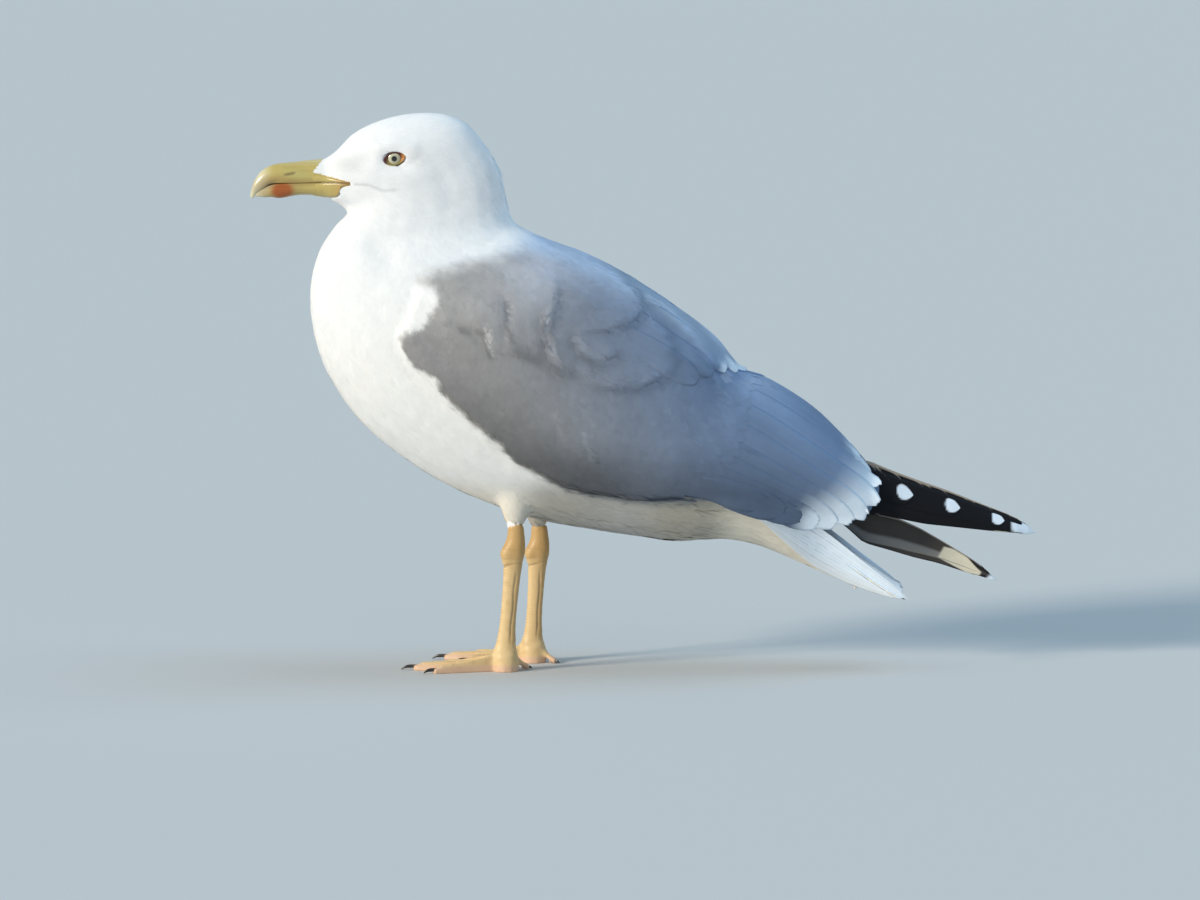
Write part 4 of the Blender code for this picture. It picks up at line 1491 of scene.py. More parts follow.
    def build_coat(self, plumes: FeatherFinish, vanes: FeatherFinish) -> None:
        """The small feathers of head, body, mantle and wing coverts.

        Args:
            plumes: The finish of the white feathers.
            vanes: The finish of the grey feathers.
        """
        places, normals = self.form.nearest(self.scattered(self.spacing))
        keep = self.form.free(places, normals, 70.0)
        roots, normals = places[keep], normals[keep]
        ways, lengths, widths = self.lay.at(roots)
        grey = self.markings.greyness(roots + ways * lengths[:, None] * 0.6)
        ways = ways + self.random.normal(0, 1, ways.shape) * (0.1 - 0.05 * grey[:, None])
        ways = along_surface(ways, normals)
        keep = self.grows(roots, roots + ways * lengths[:, None])
        roots, ways, lengths, widths, grey = (x[keep] for x in (roots, ways, lengths, widths, grey))
        lengths = lengths * self.random.uniform(0.85, 1.15, len(lengths)) * (1 - 0.28 * grey)
        widths = widths * (1 - 0.3 * grey)
        reach = unrolled(roots)[1]
        plumage = Plumage(self.form, self.random)
        white = grey < 0.5
        small = white & (lengths < 6.3)
        fine = Vane(rows=3, columns=3, root_width=0.8, shoulder=0.35, blunt=0.15, lift=0.03, spread=0.02, sink=2.6)
        soft = Vane(rows=4, columns=3, root_width=0.7, shoulder=0.4, blunt=0.12, lift=0.04, spread=0.03,
                    fringe=0.03, sink=2.6, camber=0.03, roll=0.01, form_shade=0.85)
        sleek = replace(soft, root_width=0.6, shoulder=0.5, blunt=0.2, lift=0.06, form_shade=0.82)
        sets = {
            "face_feathers": (small & (roots[:, 1] < 0), fine, plumes, 0.62),
            "face_feathers_right": (small & (roots[:, 1] >= 0), fine, plumes, 0.62),
            "neck_feathers": (white & ~small & (reach < 0.37), soft, plumes, 0.82),
            "breast_feathers": (white & ~small & (reach >= 0.37) & (reach < 0.6), soft, plumes, 0.9),
            "belly_feathers": (white & ~small & (reach >= 0.6), soft, plumes, 0.85),
            "mantle_feathers": (~white & (roots[:, 2] > 200), sleek, vanes, 0.8),
            "wing_coverts": (~white & (roots[:, 2] <= 200), sleek, vanes, 0.8),
        }
        for name, (which, vane, finish, slim) in sets.items():
            picked = [x[which] for x in (roots, ways, lengths)]
            centres, outs = plumage.shafts(vane, *picked)
            sides = np.where(picked[0][:, 1] < 0, 1.0, -1.0)
            raised = self.ruffle(picked[0])
            depths = self.depth(picked[0], picked[2])
            batch = plumage.lay(vane, centres, outs, picked[2], widths[which] * slim, depths, raised, sides)
            flat = batch.points.reshape(-1, 3)
            batch.tints = self.markings.body(flat).reshape(batch.points.shape)
            each = self.random.normal(1.0, 0.014 if vane is not sleek else 0.03, len(flat) // batch.along[0].size)
            batch.tints = batch.tints * each[:, None, None, None]
            feathered(name, [batch], finish, walled=False)

    def ruffle(self, roots: Array) -> Array:
        """How much each feather stands up: a little at the nape and under the belly's rear edge.

        Args:
            roots: The feathers' roots.

        Returns:
            One height to a feather, in millimetres.
        """
        nape = bell((roots[:, 0], -97, 13), (roots[:, 2], 322, 26))
        vent = bell((roots[:, 0], 10, 16), (roots[:, 2], 85, 6))
        return (0.6 * nape + 0.6 * vent) * np.maximum(self.random.normal(0, 1, len(roots)), 0)


# --- the folded wings ---


@dataclass(frozen=True)
class FeatherRow:
    """Large feathers between a line of roots and a line of tips, given as (x, distance from the middle, z)."""

    name: str
    slot: Slot
    roots: list[tuple]
    tips: list[tuple]
    count: int
    half_width: float
    white_tips: tuple[float, ...]
    height: float
    step: float
    fade: float = 15.0
    sunk: float = 1.3
    blunt: float = 0.3


ROWS = [
    FeatherRow(
        "flight_feathers", Slot.GREY,
        [(58, 3, 205), (52, 16, 205), (46, 34, 192), (40, 46, 178), (32, 52, 164), (24, 55, 152), (14, 57, 143),
         (4, 58, 136), (-8, 57, 130), (-21, 55, 125)],
        [(134, 3, 145.5), (137, 9, 141.5), (143.5, 12, 133.5), (149, 14, 125.5), (153, 18, 117.5), (151, 23, 110),
         (146, 27, 103.5), (138, 29, 97.5), (129, 30, 91.5), (118, 31, 88), (106, 33, 90), (94, 36, 96.5),
         (80, 38, 103)],
        12, 10.0, (5, 8, 13, 18, 21, 22, 22, 19, 10, 0, 0, 0), 0.1, 0.05, 28.0,
    ),
    FeatherRow(
        "scapulars", Slot.GREY,
        [(0, 6, 257), (-6, 20, 250), (-20, 34, 240), (-38, 46, 228)],
        [(66, 7, 200.5), (61, 16, 196), (50, 30, 192.5), (34, 44, 189)],
        5, 9.5, (9, 8, 3, 0, 0), 0.7, 0.1, 5.0,
    ),
]
# Where those rows lie open, seen from the side, so that no small feather grows there.
LARGE_FEATHER_OUTLINES: list[list[Place]] = [
    [(76, 220), (66, 202), (58, 184), (54, 166), (48, 148), (36, 134), (14, 124), (20, 104),
     (60, 107.5), (84, 101), (102, 93), (118, 88), (160, 92), (175, 130), (110, 190)],
    [(26, 252), (22, 236), (24, 222), (34, 208), (44, 196), (58, 196), (76, 206)],
    [(76, 103), (84, 95), (94, 86.5), (104, 79), (120, 69), (138, 58), (150, 48), (190, 30), (190, 70), (120, 95),
     (100, 99)],
]


@dataclass
class WingFace:
    """The outer face of back and wings, met from outside, so that long feathers wrap over it and hang free below."""

    form: Surface
    axis: tuple[Place, ...] = (
        (-160, 215), (-100, 205), (-50, 195), (0, 175), (50, 150), (100, 128), (140, 116), (155, 114),
    )
    lower_edge: tuple[Place, ...] = (
        (20, 106), (40, 110), (60, 113.5), (80, 109.5), (100, 104.5), (120, 99), (130, 98.5), (140, 103), (150, 114),
    )
    # the least distance from the middle below the axis, by x
    flank: tuple[Place, ...] = (
        (0, 58), (40, 56), (60, 52.5), (80, 47.5), (100, 42.5), (120, 36.5), (130, 34.5), (140, 31.5), (150, 26),
    )
    rear: float = 147.0
    reach: float = 160.0
    steepest: float = -0.15

    def nearest(self, points: Array) -> tuple[Array, Array]:
        """The places straight inwards from some points, and the outward directions there.

        Args:
            points: Points in millimetres, in an array of any shape that ends in 3.

        Returns:
            The places and the outward directions there, in arrays of the same shape.
        """
        flat = points.reshape(-1, 3)
        held = flat.copy()
        held[:, 0] = np.minimum(held[:, 0], self.rear)
        held[:, 2] = np.maximum(held[:, 2], np.interp(held[:, 0], *zip(*self.lower_edge)))
        core = np.stack([held[:, 0], np.zeros(len(held)), np.interp(held[:, 0], *zip(*self.axis))], axis=1)
        least = np.interp(held[:, 0], *zip(*self.flank)) * smooth(6, -6, held[:, 2] - core[:, 2])
        held[:, 1] = np.sign(held[:, 1]) * np.maximum(np.abs(held[:, 1]), least)
        ways = unit(held - core)
        places, normals = self.form.met(core + ways * self.reach, -ways, held)
        normals[:, 2] = np.maximum(normals[:, 2], self.steepest)
        normals = unit(normals)
        places[:, [0, 2]] += (flat - held)[:, [0, 2]]
        return places.reshape(points.shape), normals.reshape(points.shape)


@dataclass
class FoldedWings:
    """The rows of large feathers on the folded wings."""

    body: Body
    random: np.random.Generator
    rows: int = 16
    columns: int = 9

    def build_row(self, row: FeatherRow, finish: FeatherFinish) -> Object:
        """One row on both sides.

        Args:
            row: The row's sizes.
            finish: The finish of its feathers.

        Returns:
            The piece.
        """
        vane = Vane(self.rows, self.columns, root_width=0.8, fullest=0.4, shoulder=0.82, blunt=row.blunt,
                    fringe=0.006, lift=0.2, camber=0.025, roll=0.03, spread=0.04, draped=True, form_shade=0.0,
                    crowding=1.8)
        shares = np.linspace(0, 1, row.count)
        face = WingFace(self.body.form)
        plumage = Plumage(face, self.random)
        batches = []
        for side in Side:
            mirror = np.array((1.0, side.value, 1.0))
            roots, tips = along_line(row.roots, shares) * mirror, along_line(row.tips, shares) * mirror
            steps = vane.steps[None, :, None]
            chords = face.nearest(roots)[0][:, None] * (1 - steps)
            chords = chords + face.nearest(tips)[0][:, None] * steps
            centres, normals = face.nearest(chords)
            lengths = norm(np.diff(centres, axis=1), axis=2).sum(axis=1)
            widths = row.half_width * self.random.uniform(0.92, 1.08, row.count)
            heights = row.height + row.step * (row.count - 1 - np.arange(row.count))
            depths = row.sunk + heights
            batch = plumage.lay(vane, centres, normals, lengths, widths, depths, heights, -side.value)
            batches.append(self.painted(batch, row, lengths))
        return feathered(row.name, batches, finish)

    def painted(self, batch: Batch, row: FeatherRow, lengths: Array) -> Batch:
        """Grey vanes with paler edges and, in some rows, white ends painted in bluish sky shade.

        Args:
            batch: The feathers.
            row: The row's sizes.
            lengths: The feathers' lengths.

        Returns:
            The feathers with their colours.
        """
        # the grey carries the painted light and shade of Markings.grey
        base = self.body.markings.grey(batch.points.reshape(-1, 3)).reshape(batch.points.shape)
        tints = base * self.random.uniform(0.98, 1.02, (len(base), 1, 1, 1))
        edge = smooth(0.8, 1, np.abs(batch.across)) * smooth(0.1, 0.6, batch.along)
        shaft = bell((batch.across, 0, 0.1))
        tints = tints * (1 + 0.07 * edge - 0.04 * shaft)[..., None]
        white = np.interp(np.linspace(0, 1, row.count), np.linspace(0, 1, len(row.white_tips)), row.white_tips)
        left = (1 - batch.along) * lengths[:, None, None] + 2.0 * (np.abs(batch.across) - 0.5)
        fade = np.clip(1.6 * white, 1.0, row.fade)[:, None, None]
        share = smooth(0, 1, (white[:, None, None] + fade / 2 - left) / fade)
        # white ends painted in bluish sky shade
        batch.tints = mixed(tints, Paint.WHITE_SKY_SHADED, share * (white > 0.2)[:, None, None])
        return batch


# --- blades: wing tips and tail ---


@dataclass
class Blade:
    """A thin solid of folded quills, measured so that feathers can be placed on either face of it.

    It runs along X. Its breadth is along Z for a wing tip and along Y for the tail.
    """

    node: Object
    breadth: int
    surface: Surface = field(init=False)
    stations: Array = field(init=False)
    low: Array = field(init=False)
    high: Array = field(init=False)
    middle: Array = field(init=False)

    def __post_init__(self) -> None:
        """Finds how broad the blade is at stations along it."""
        self.surface = Surface(self.node.data.copy())
        points = self.surface.points
        ends = points[:, 0].min(), points[:, 0].max()
        self.stations = np.linspace(*ends, BLADE_STATIONS)
        edges = self.surface.points[self.surface.corners][:, [0, 1, 1, 2, 2, 0]].reshape(-1, 2, 3)
        self.low, self.high, self.middle = np.zeros((3, BLADE_STATIONS))
        depth = 3 - self.breadth
        for i, x in enumerate(self.stations):
            x = min(max(x, ends[0] + 0.01), ends[1] - 0.01)
            gap = edges[:, :, 0] - x
            cut = edges[(gap[:, 0] * gap[:, 1]) <= 0]
            span = cut[:, 1, 0] - cut[:, 0, 0]
            share = np.clip((x - cut[:, 0, 0]) / np.where(np.abs(span) < 1e-6, 1.0, span), 0, 1)
            places = cut[:, 0] + share[:, None] * (cut[:, 1] - cut[:, 0])
            across = places[:, self.breadth]
            self.low[i], self.high[i] = across.min(), across.max()
            self.middle[i] = (places[:, depth].min() + places[:, depth].max()) / 2

    @property
    def length(self) -> float:
        """How long the blade is."""
        return self.stations[-1] - self.stations[0]

    def breadth_at(self, share: float) -> float:
        """How broad the blade is at a share of its length."""
        return np.interp(share, np.linspace(0, 1, BLADE_STATIONS), self.high - self.low)

    def spots(self, along: Array, across: Array, outward: float) -> tuple[Array, Array]:
        """Places on one face of the blade.

        Args:
            along: Shares of the blade's length, from its base.
            across: Shares of its breadth, from the low edge to the high one.
            outward: The sign of the side that the face looks to, on the axis of its thickness.

        Returns:
            The places and the outward directions there.
        """
        x = self.stations[0] + along * self.length
        low = np.interp(x, self.stations, self.low)
        high = np.interp(x, self.stations, self.high)
        beyond = (across - np.clip(across, 0.04, 0.96)) * (high - low)
        breadth = low + across * (high - low) - beyond
        depth = 3 - self.breadth
        points = np.zeros((*x.shape, 3))
        points[..., 0], points[..., self.breadth] = x, breadth
        spares = points.copy()
        points[..., depth] = self.middle.mean() + outward * 60.0
        spares[..., depth] = np.interp(x, self.stations, self.middle)
        way = np.broadcast_to(-outward * np.eye(3)[depth], points.shape)
        places, normals = self.surface.met(*(grid.reshape(-1, 3) for grid in (points, way, spares)))
        normals[:, depth] = np.where(normals[:, depth] * outward < 0, 0, normals[:, depth])
        normals = unit(normals + np.eye(3)[depth] * outward * 0.5)
        places[:, self.breadth] += beyond.ravel()
        return places.reshape(points.shape), normals.reshape(points.shape)


@dataclass(frozen=True)
class Quill:
    """One stiff feather on a blade: its tip along it, and its lower and upper edge across it.

    A spot is given by how far its middle lies from the tip, its half length and its half height.
    """

    tip: float
    low: float
    high: float
    height: float
    rounding: float = 0.6
    spot: tuple[float, float, float] | None = None


@dataclass
class QuillVane:
    """Makes stiff feathers on a blade."""

    blade: Blade
    outward: float
    rows: int = 52
    columns: int = 19
    crowding: float = 2.3
    blunt: float = 0.22

    def build(self, quill: Quill, cell: tuple[int, int], mirror: bool) -> Batch:
        """One quill as a grid, with its own cell of the bake's map.

        Args:
            quill: Its sizes.
            cell: Its place in the row of cells, and how many there are.
            mirror: Whether the grid runs the other way, so that it faces outwards.

        Returns:
            The quill, still white.
        """
        s = 1 - (1 - np.linspace(0, 1, self.rows)[:, None]) ** self.crowding
        t = np.linspace(-1, 1, self.columns)[None, :]
        long = self.blade.length * quill.tip
        broad = self.blade.breadth_at(quill.tip)
        shoulder = 1 - quill.rounding * max((quill.high - quill.low) * broad, 4.0) / long
        closing = np.clip((s - shoulder) / (1 - shoulder), 0, 1)
        width = np.sqrt(1 - (1 - self.blunt**2) * closing**2)
        middle, half = (quill.high + quill.low) / 2, (quill.high - quill.low) / 2
        across = middle + half * t * width
        along = np.broadcast_to(s, across.shape)
        spots, normals = self.blade.spots(quill.tip * along, across, self.outward)
        points = spots + normals * (quill.height * (0.35 + 0.65 * s) - 0.22 * (t * t))[..., None]
        u = (cell[0] + 0.5 + 0.46 * t) / cell[1]
        bake = np.stack(np.broadcast_arrays(u, 0.02 + 0.96 * along), axis=-1)
        across = np.broadcast_to(t, along.shape)
        grids = (points, along, across, np.ones(points.shape), bake)
        if mirror:
            grids = tuple(grid[:, ::-1] for grid in grids)
        return Batch(*(grid[None] for grid in grids))


@dataclass
class WingTip:
    """The folded primaries of one wing."""

    side: Side
    node: Object
    quills: tuple[Quill, ...] = (
        Quill(1.000, 0.00, 1.00, 0.05, 1.25, (7.5, 7.5, 9.0)),
        Quill(0.94, 0.62, 1.05, 0.16, 0.9), Quill(0.895, 0.7, 1.06, 0.21, 0.9),
        Quill(0.858, 0.24, 1.00, 0.26, 0.6, (4.3, 3.9, 3.2)),
        Quill(0.805, 0.7, 1.05, 0.31, 0.9), Quill(0.745, 0.6, 1.05, 0.36, 0.9),
        Quill(0.7, 0.7, 1.04, 0.41, 0.9),
        Quill(0.655, 0.3, 0.98, 0.46, 0.6, (5.0, 4.6, 3.9)),
        Quill(0.6, 0.7, 1.04, 0.51, 0.9), Quill(0.545, 0.6, 1.04, 0.56, 0.9),
        Quill(0.49, 0.7, 1.04, 0.61, 0.9),
        Quill(0.44, 0.34, 0.95, 0.66, 0.6, (5.4, 5.0, 4.5)),
        Quill(0.385, 0.7, 1.04, 0.71, 0.9), Quill(0.33, 0.5, 1.03, 0.76, 0.9),
        Quill(0.27, 0.7, 1.03, 0.81, 0.9),
        Quill(0.2, 0.4, 1.00, 0.86, 0.9),
    )
    # the under face's pale mirror, as shares of the blade's length and breadth
    mirror: tuple[Place, ...] = (
        (0.704, 0.85), (0.787, 1.08), (0.84, 0.97), (0.914, 0.46), (0.905, 0.1), (0.84, -0.05), (0.746, 0.14),
        (0.671, 0.25),
    )

    def build(self, finish: FeatherFinish) -> Object:
        """Both faces of the wing tip.

        Args:
            finish: The quills' finish.

        Returns:
            The piece.
        """
        blade = Blade(self.node, 2)
        cells = len(self.quills) + 1
        upper = QuillVane(blade, self.side.value)
        batches = [
            self.painted(upper.build(quill, (i, cells), self.side is Side.RIGHT), quill, blade)
            for i, quill in enumerate(self.quills)
        ]
        under = QuillVane(blade, -self.side.value, rows=130, columns=41, crowding=1.0, blunt=0.05)
        whole = Quill(1.0, 0.0, 1.0, 0.05, 1.25)
        batches.append(self.painted_under(under.build(whole, (cells - 1, cells), self.side is Side.LEFT)))
        label = self.side.label
        return feathered(f"primaries_{label}", batches, finish, (f"wing_tip_{label}",), shades=True)

    def painted(self, batch: Batch, quill: Quill, blade: Blade) -> Batch:
        """Black quills with a thin brown edge above, and a white spot, painted in bluish sky shade, near the end of
        some.

        Args:
            batch: The quill as a grid.
            quill: Its sizes.
            blade: The blade it lies on.

        Returns:
            The quill with its colours.
        """
        long, broad = blade.length * quill.tip, blade.breadth_at(quill.tip) * (quill.high - quill.low)
        left = (1 - batch.along) * long
        edge = smooth(0.7, 0.86, batch.across) * smooth(0.1, 0.3, batch.along)
        edge = edge * (0.35 + 0.65 * (quill.spot is None))
        tints = mixed(Paint.BLACK, Paint.BROWN_FRINGE, edge * (quill.high > 0.99))
        if quill.spot:
            centre, before, tall = quill.spot
            off = (left - centre) / before
            off = np.where(off > 0, np.abs(off) ** 1.6, np.abs(off) * 0.93)
            up = batch.across * max(broad, 9.0) / 2 / tall
            # white spot painted in bluish sky shade
            tints = mixed(tints, Paint.WHITE_SKY_SHADED, smooth(1.12, 0.92, np.hypot(off, up)))
        batch.tints = tints
        return batch

    def painted_under(self, batch: Batch) -> Batch:
        """The under face of the longest quill: dark, with a pale mirror near its end and a pale shaft.

        Args:
            batch: The quill as a grid.

        Returns:
            The quill with its colours.
        """
        along, across = batch.along, (batch.across + 1) / 2
        shaft = np.interp(along, (0.0, 0.17, 0.66, 0.93), (0.0, 0.05, 0.24, 0.36))
        above = across - shaft
        pale = smooth(0, 0.04, above) * smooth(0.34, 0.2, above)
        flat = np.stack([along, across * 0.16], axis=-1).reshape(-1, 2)
        outline = [(x, z * 0.16) for x, z in self.mirror]
        share = smooth(-0.004, 0.006, inside(outline, flat)).reshape(along.shape)
        batch.tints = layered(
            Paint.UNDER_DARK,
            (Paint.UNDER_PALE, pale),
            (Paint.MIRROR, share),
            (Paint.BLACK, smooth(0.7, 0.8, along) * (1 - share) * 0.8),
            (Paint.SHAFT, bell((above, 0, 0.022)) * smooth(0.97, 0.8, along)),
            # white end painted in bluish sky shade
            (Paint.WHITE_SKY_SHADED, smooth(0.945, 0.965, along - 0.03 * (across - 0.5))),
        )
        return batch


@dataclass
class Tail:
    """The closed tail: white quills that overlap from the middle outwards, and the outermost on the sides."""

    node: Object
    random: np.random.Generator
    count: int = 12
    side_count: int = 5
    # x, then distance from the middle and height of the upper and of the lower edge of the folded side
    sides: tuple = (
        (62, 38.5, 107.5, 38.5, 105.5), (76, 35, 106, 34, 99), (92, 30.5, 103.5, 27.5, 84),
        (110, 24, 96, 20.5, 68.5), (120, 22.4, 88.8, 18.8, 63), (130, 23.6, 81, 18.3, 58),
        (140, 25.8, 73, 19, 54), (150, 27.8, 65.4, 21.5, 51), (160, 29.2, 57.8, 25, 48),
        (171, 29.6, 48.6, 28, 45.8),
    )
    side_tips: tuple = (0.985, 1.0, 0.99, 0.965, 0.92)

    def build(self, finish: FeatherFinish) -> None:
        """Both faces of the tail, and its sides.

        Args:
            finish: The quills' finish.
        """
        blade = Blade(self.node, 1)
        batches = []
        for face, outward in enumerate((1.0, -1.0)):
            vane = QuillVane(blade, outward, rows=24, columns=7, crowding=1.5)
            for i in range(self.count):
                middle = (i + 0.5) / self.count
                tip = 1.0 + self.random.uniform(-0.03, 0.01) - 0.02 * (abs(middle - 0.5) < 0.2)
                height = 0.1 + 0.1 * (self.count / 2 - abs(i - (self.count - 1) / 2))
                quill = Quill(tip, max(middle - 0.085, 0.0), min(middle + 0.085, 1.0), height, 0.5)
                batch = vane.build(quill, (i + face * self.count, 2 * self.count), outward < 0)
                if outward > 0:
                    slope = np.clip(batch.points[..., 1:2] / 12.0, -1, 1)
                    batch.outward = unit(slope * (0, 0.9, 0) + np.array((0.1, 0, 0.6)))
                    batch.form_shade = 0.75
                batches.append(self.painted(batch))
        feathered("tail_feathers", batches, finish, ("tail",), shades=True)
        strips = [self.build_strip(side, i) for side in Side for i in range(self.side_count)]
        feathered("tail_sides", strips, finish)

    def painted(self, batch: Batch) -> Batch:
        """White vanes painted in bluish sky shade, with a faint shaft, each a little different.

        Args:
            batch: The quill as a grid.

        Returns:
            The quill with its colours.
        """
        shaft = 0.1 * bell((batch.across, 0, 0.15)) + 0.1 * smooth(0.75, 1, batch.across)
        # white painted in bluish sky shade
        batch.tints = mixed(Paint.WHITE_SKY_SHADED, Paint.UNDER_PALE, shaft) * self.random.uniform(0.97, 1.03)
        return batch

    def build_strip(self, side: Side, index: int) -> Batch:
        """One lengthwise feather of the folded side; lower ones lie outside upper ones.

        Args:
            side: The side of the tail.
            index: The strip's place, counted from the top.

        Returns:
            The strip with its colours.
        """
        rows, columns = 26, 7
        s = (1 - (1 - np.linspace(0, 1, rows)) ** 1.6)[:, None]
        t = np.linspace(-1, 1, columns)[None, :]
        edges = along_line(self.sides, s[:, 0] * self.side_tips[index])
        half = 0.62 / self.side_count
        middle = (index + 0.5) / self.side_count
        closing = np.clip((s - 0.9) / 0.1, 0, 1)
        v = np.clip(middle + half * t * np.sqrt(1 - 0.93 * closing**2), -0.02, 1.02)
        x = np.broadcast_to(edges[:, :1], v.shape)
        y = edges[:, 1:2] * (1 - v) + edges[:, 3:4] * v
        z = edges[:, 2:3] * (1 - v) + edges[:, 4:5] * v
        bulge = 0.5 + 1.3 * v * (1 - v) * smooth(1, 0.5, s) + 0.1 * index * s - 0.1 * t**2
        points = np.stack([x, side.value * (y + bulge), z], axis=-1)
        along, across = np.broadcast_to(s, v.shape), np.broadcast_to(t, v.shape)
        cell = (index + 0.5 + 0.46 * t) / self.side_count
        bake = np.stack(np.broadcast_arrays(cell * 0.5 + 0.5 * (side is Side.LEFT), 0.02 + 0.96 * along), axis=-1)
        grids = (points, along, across, np.ones(points.shape), bake)
        if side is Side.LEFT:
            grids = tuple(grid[:, ::-1] for grid in grids)
        batch = self.painted(Batch(*(grid[None] for grid in grids)))
        batch.tints = mixed(batch.tints, Paint.CREAM, 0.25 * smooth(0.5, 1, v[:, :: side.value])[None])
        return batch


# --- head ---


@dataclass
class Bill:
    """The horn of the bill, with its nostril, red spot and the gape that runs back under the cheek."""

    nodes: dict[str, Object]
    form: Surface
    nostril: tuple = (-228.5, 321.6)
    nostril_size: tuple = (3.8, 0.75)
    nostril_tilt: float = 10.0
    nostril_depth: float = 0.8
    gape_softening: int = 6
    # how far the meeting edges of the two halves are moved up, so that the mouth is shut
    closing: dict = field(default_factory=lambda: {"upper": -0.3, "lower": 0.7})
    mouth_rise: float = 1.7
    brow_drop: float = 0.8
    tip_drop: float = 0.9
    tip_reach: float = 3.6
    # x, upper edge and lower edge of the bare skin, and the mouth's line along it
    gape_edges: tuple = (
        (-217, 321, 308.2), (-210, 321.6, 306.9), (-206, 321, 306.2), (-203, 320.2, 306.2),
        (-198.2, 319.2, 307), (-196.6, 318.8, 309.6), (-195.7, 318.5, 312.9), (-191, 317.3, 314.4),
        (-187, 316.2, 315.2),
    )
    mouth_line: tuple = ((-216.0, 316.2), (-206.0, 316.2), (-198.0, 316.2), (-192.0, 316.1), (-187.0, 315.7))
    spot: tuple = (-233.9, 310.8)
    spot_size: tuple = (7.8, 6.6)

    def build(self, finish: SkinFinish) -> None:
        """Upper and lower horn and the bare skin of the gape.

        Args:
            finish: The horn's finish.
        """
        both = bmesh.new()
        for half in ("upper", "lower"):
            mesh = refined(f"bill_{half}_horn", self.nodes[f"bill_{half}"], 3, 0.12, 38.0)
            points = spots_of(mesh)
            facing = outward_of(mesh)[:, 2] * (-1 if half == "upper" else 1)
            rise = self.closing[half] + self.mouth_rise * smooth(-247, -238, points[:, 0])
            points[:, 2] += rise * smooth(0.2, 0.8, facing)
            if half == "lower":
                tip = smooth(-238, -249, points[:, 0])
                points[:, 2] -= self.tip_drop * smooth(0, 0.6, tip) * smooth(0.3, -0.5, facing)
                points += np.stack([-self.tip_reach * tip, -0.45 * points[:, 1] * tip, 0 * tip], axis=1)
            if half == "upper":
                drop = self.brow_drop * bell((points[:, 0], -226.5, 12))
                points[:, 2] -= drop * smooth(318, 326, points[:, 2])
                hollow = self.nostril_mask(points)
                points[:, 1] -= np.sign(points[:, 1]) * hollow * self.nostril_depth
            write_points(mesh, points)
            write_tints(mesh, self.colours(points, half))
            both.from_mesh(mesh)
            placed(f"bill_{half}_horn", mesh, finish.material(), (f"bill_{half}",))
        horn = Surface(worked("whole_horn", both))
        for side in Side:
            self.build_gape(side, horn, finish)

    def nostril_mask(self, points: Array) -> Array:
        """How deep in the nostril's slit places are, from 0 to 1.

        Args:
            points: The places, one to a row.

        Returns:
            One depth to a place.
        """
        turn = math.radians(self.nostril_tilt)
        x, z = points[:, 0] - self.nostril[0], points[:, 2] - self.nostril[1]
        u, v = x * math.cos(turn) + z * math.sin(turn), z * math.cos(turn) - x * math.sin(turn)
        return np.exp(-((u / self.nostril_size[0]) ** 4) - (v / self.nostril_size[1]) ** 2)

    def colours(self, points: Array, half: str) -> Array:
        """Yellow horn, paler to the tip, with a painted highlight along the culmen, the spot, the smudge above it and
        painted shade in the nostril.

        Args:
            points: The places, one to a row.
            half: Which half of the bill, upper or lower.

        Returns:
            One linear colour to a row.
        """
        x, z = points[:, 0], points[:, 2]
        gap = np.hypot((x - self.spot[0]) / self.spot_size[0], (z - self.spot[1]) / self.spot_size[1])
        limit = 1.0 if half == "lower" else 0.6
        smudge = bell((x, -242, 4.6), (z - 0.35 * (x + 242), 315.2, 2.2))
        streak = ripple(points * (0.35, 1.0, 3.0), 9.0)
        return layered(
            Paint.HORN,
            (Paint.HORN_PALE, smooth(-238, -252, x)),
            (Paint.HORN_GREEN, 0.45 * bell((x, -224, 9), (z, 320, 6))),
            # painted highlight: paler along the top of the culmen
            (Paint.HORN_PALE, 0.4 * smooth(326, 331, z) * smooth(-245, -235, x)),
            (Paint.HORN_BROWN, 0.5 * smooth(1.5, 0.7, np.hypot((x + 238) / 15, (z - 313) / 7))),
            (Paint.HORN_BROWN, 0.55 * smooth(-240, -226, x) * bell((z, 316.8, 1.7))),
            (Paint.SPOT, 0.95 * smooth(limit + 0.25, limit - 0.45, gap)),
            (Paint.SMUDGE_AND_SHADE, 0.68 * smudge),
            (Paint.HORN_BROWN, 0.28 * smooth(-0.2, 1.2, streak) * smooth(-240, -225, x)),
            (Paint.GAPE, 0.5 * smooth(-214, -200, x) * bell((z, 314.5, 2.6))),
            # painted shade in the nostril's slit
            (Paint.SMUDGE_AND_SHADE, 0.8 * self.nostril_mask(points) * (half == "upper")),
        )

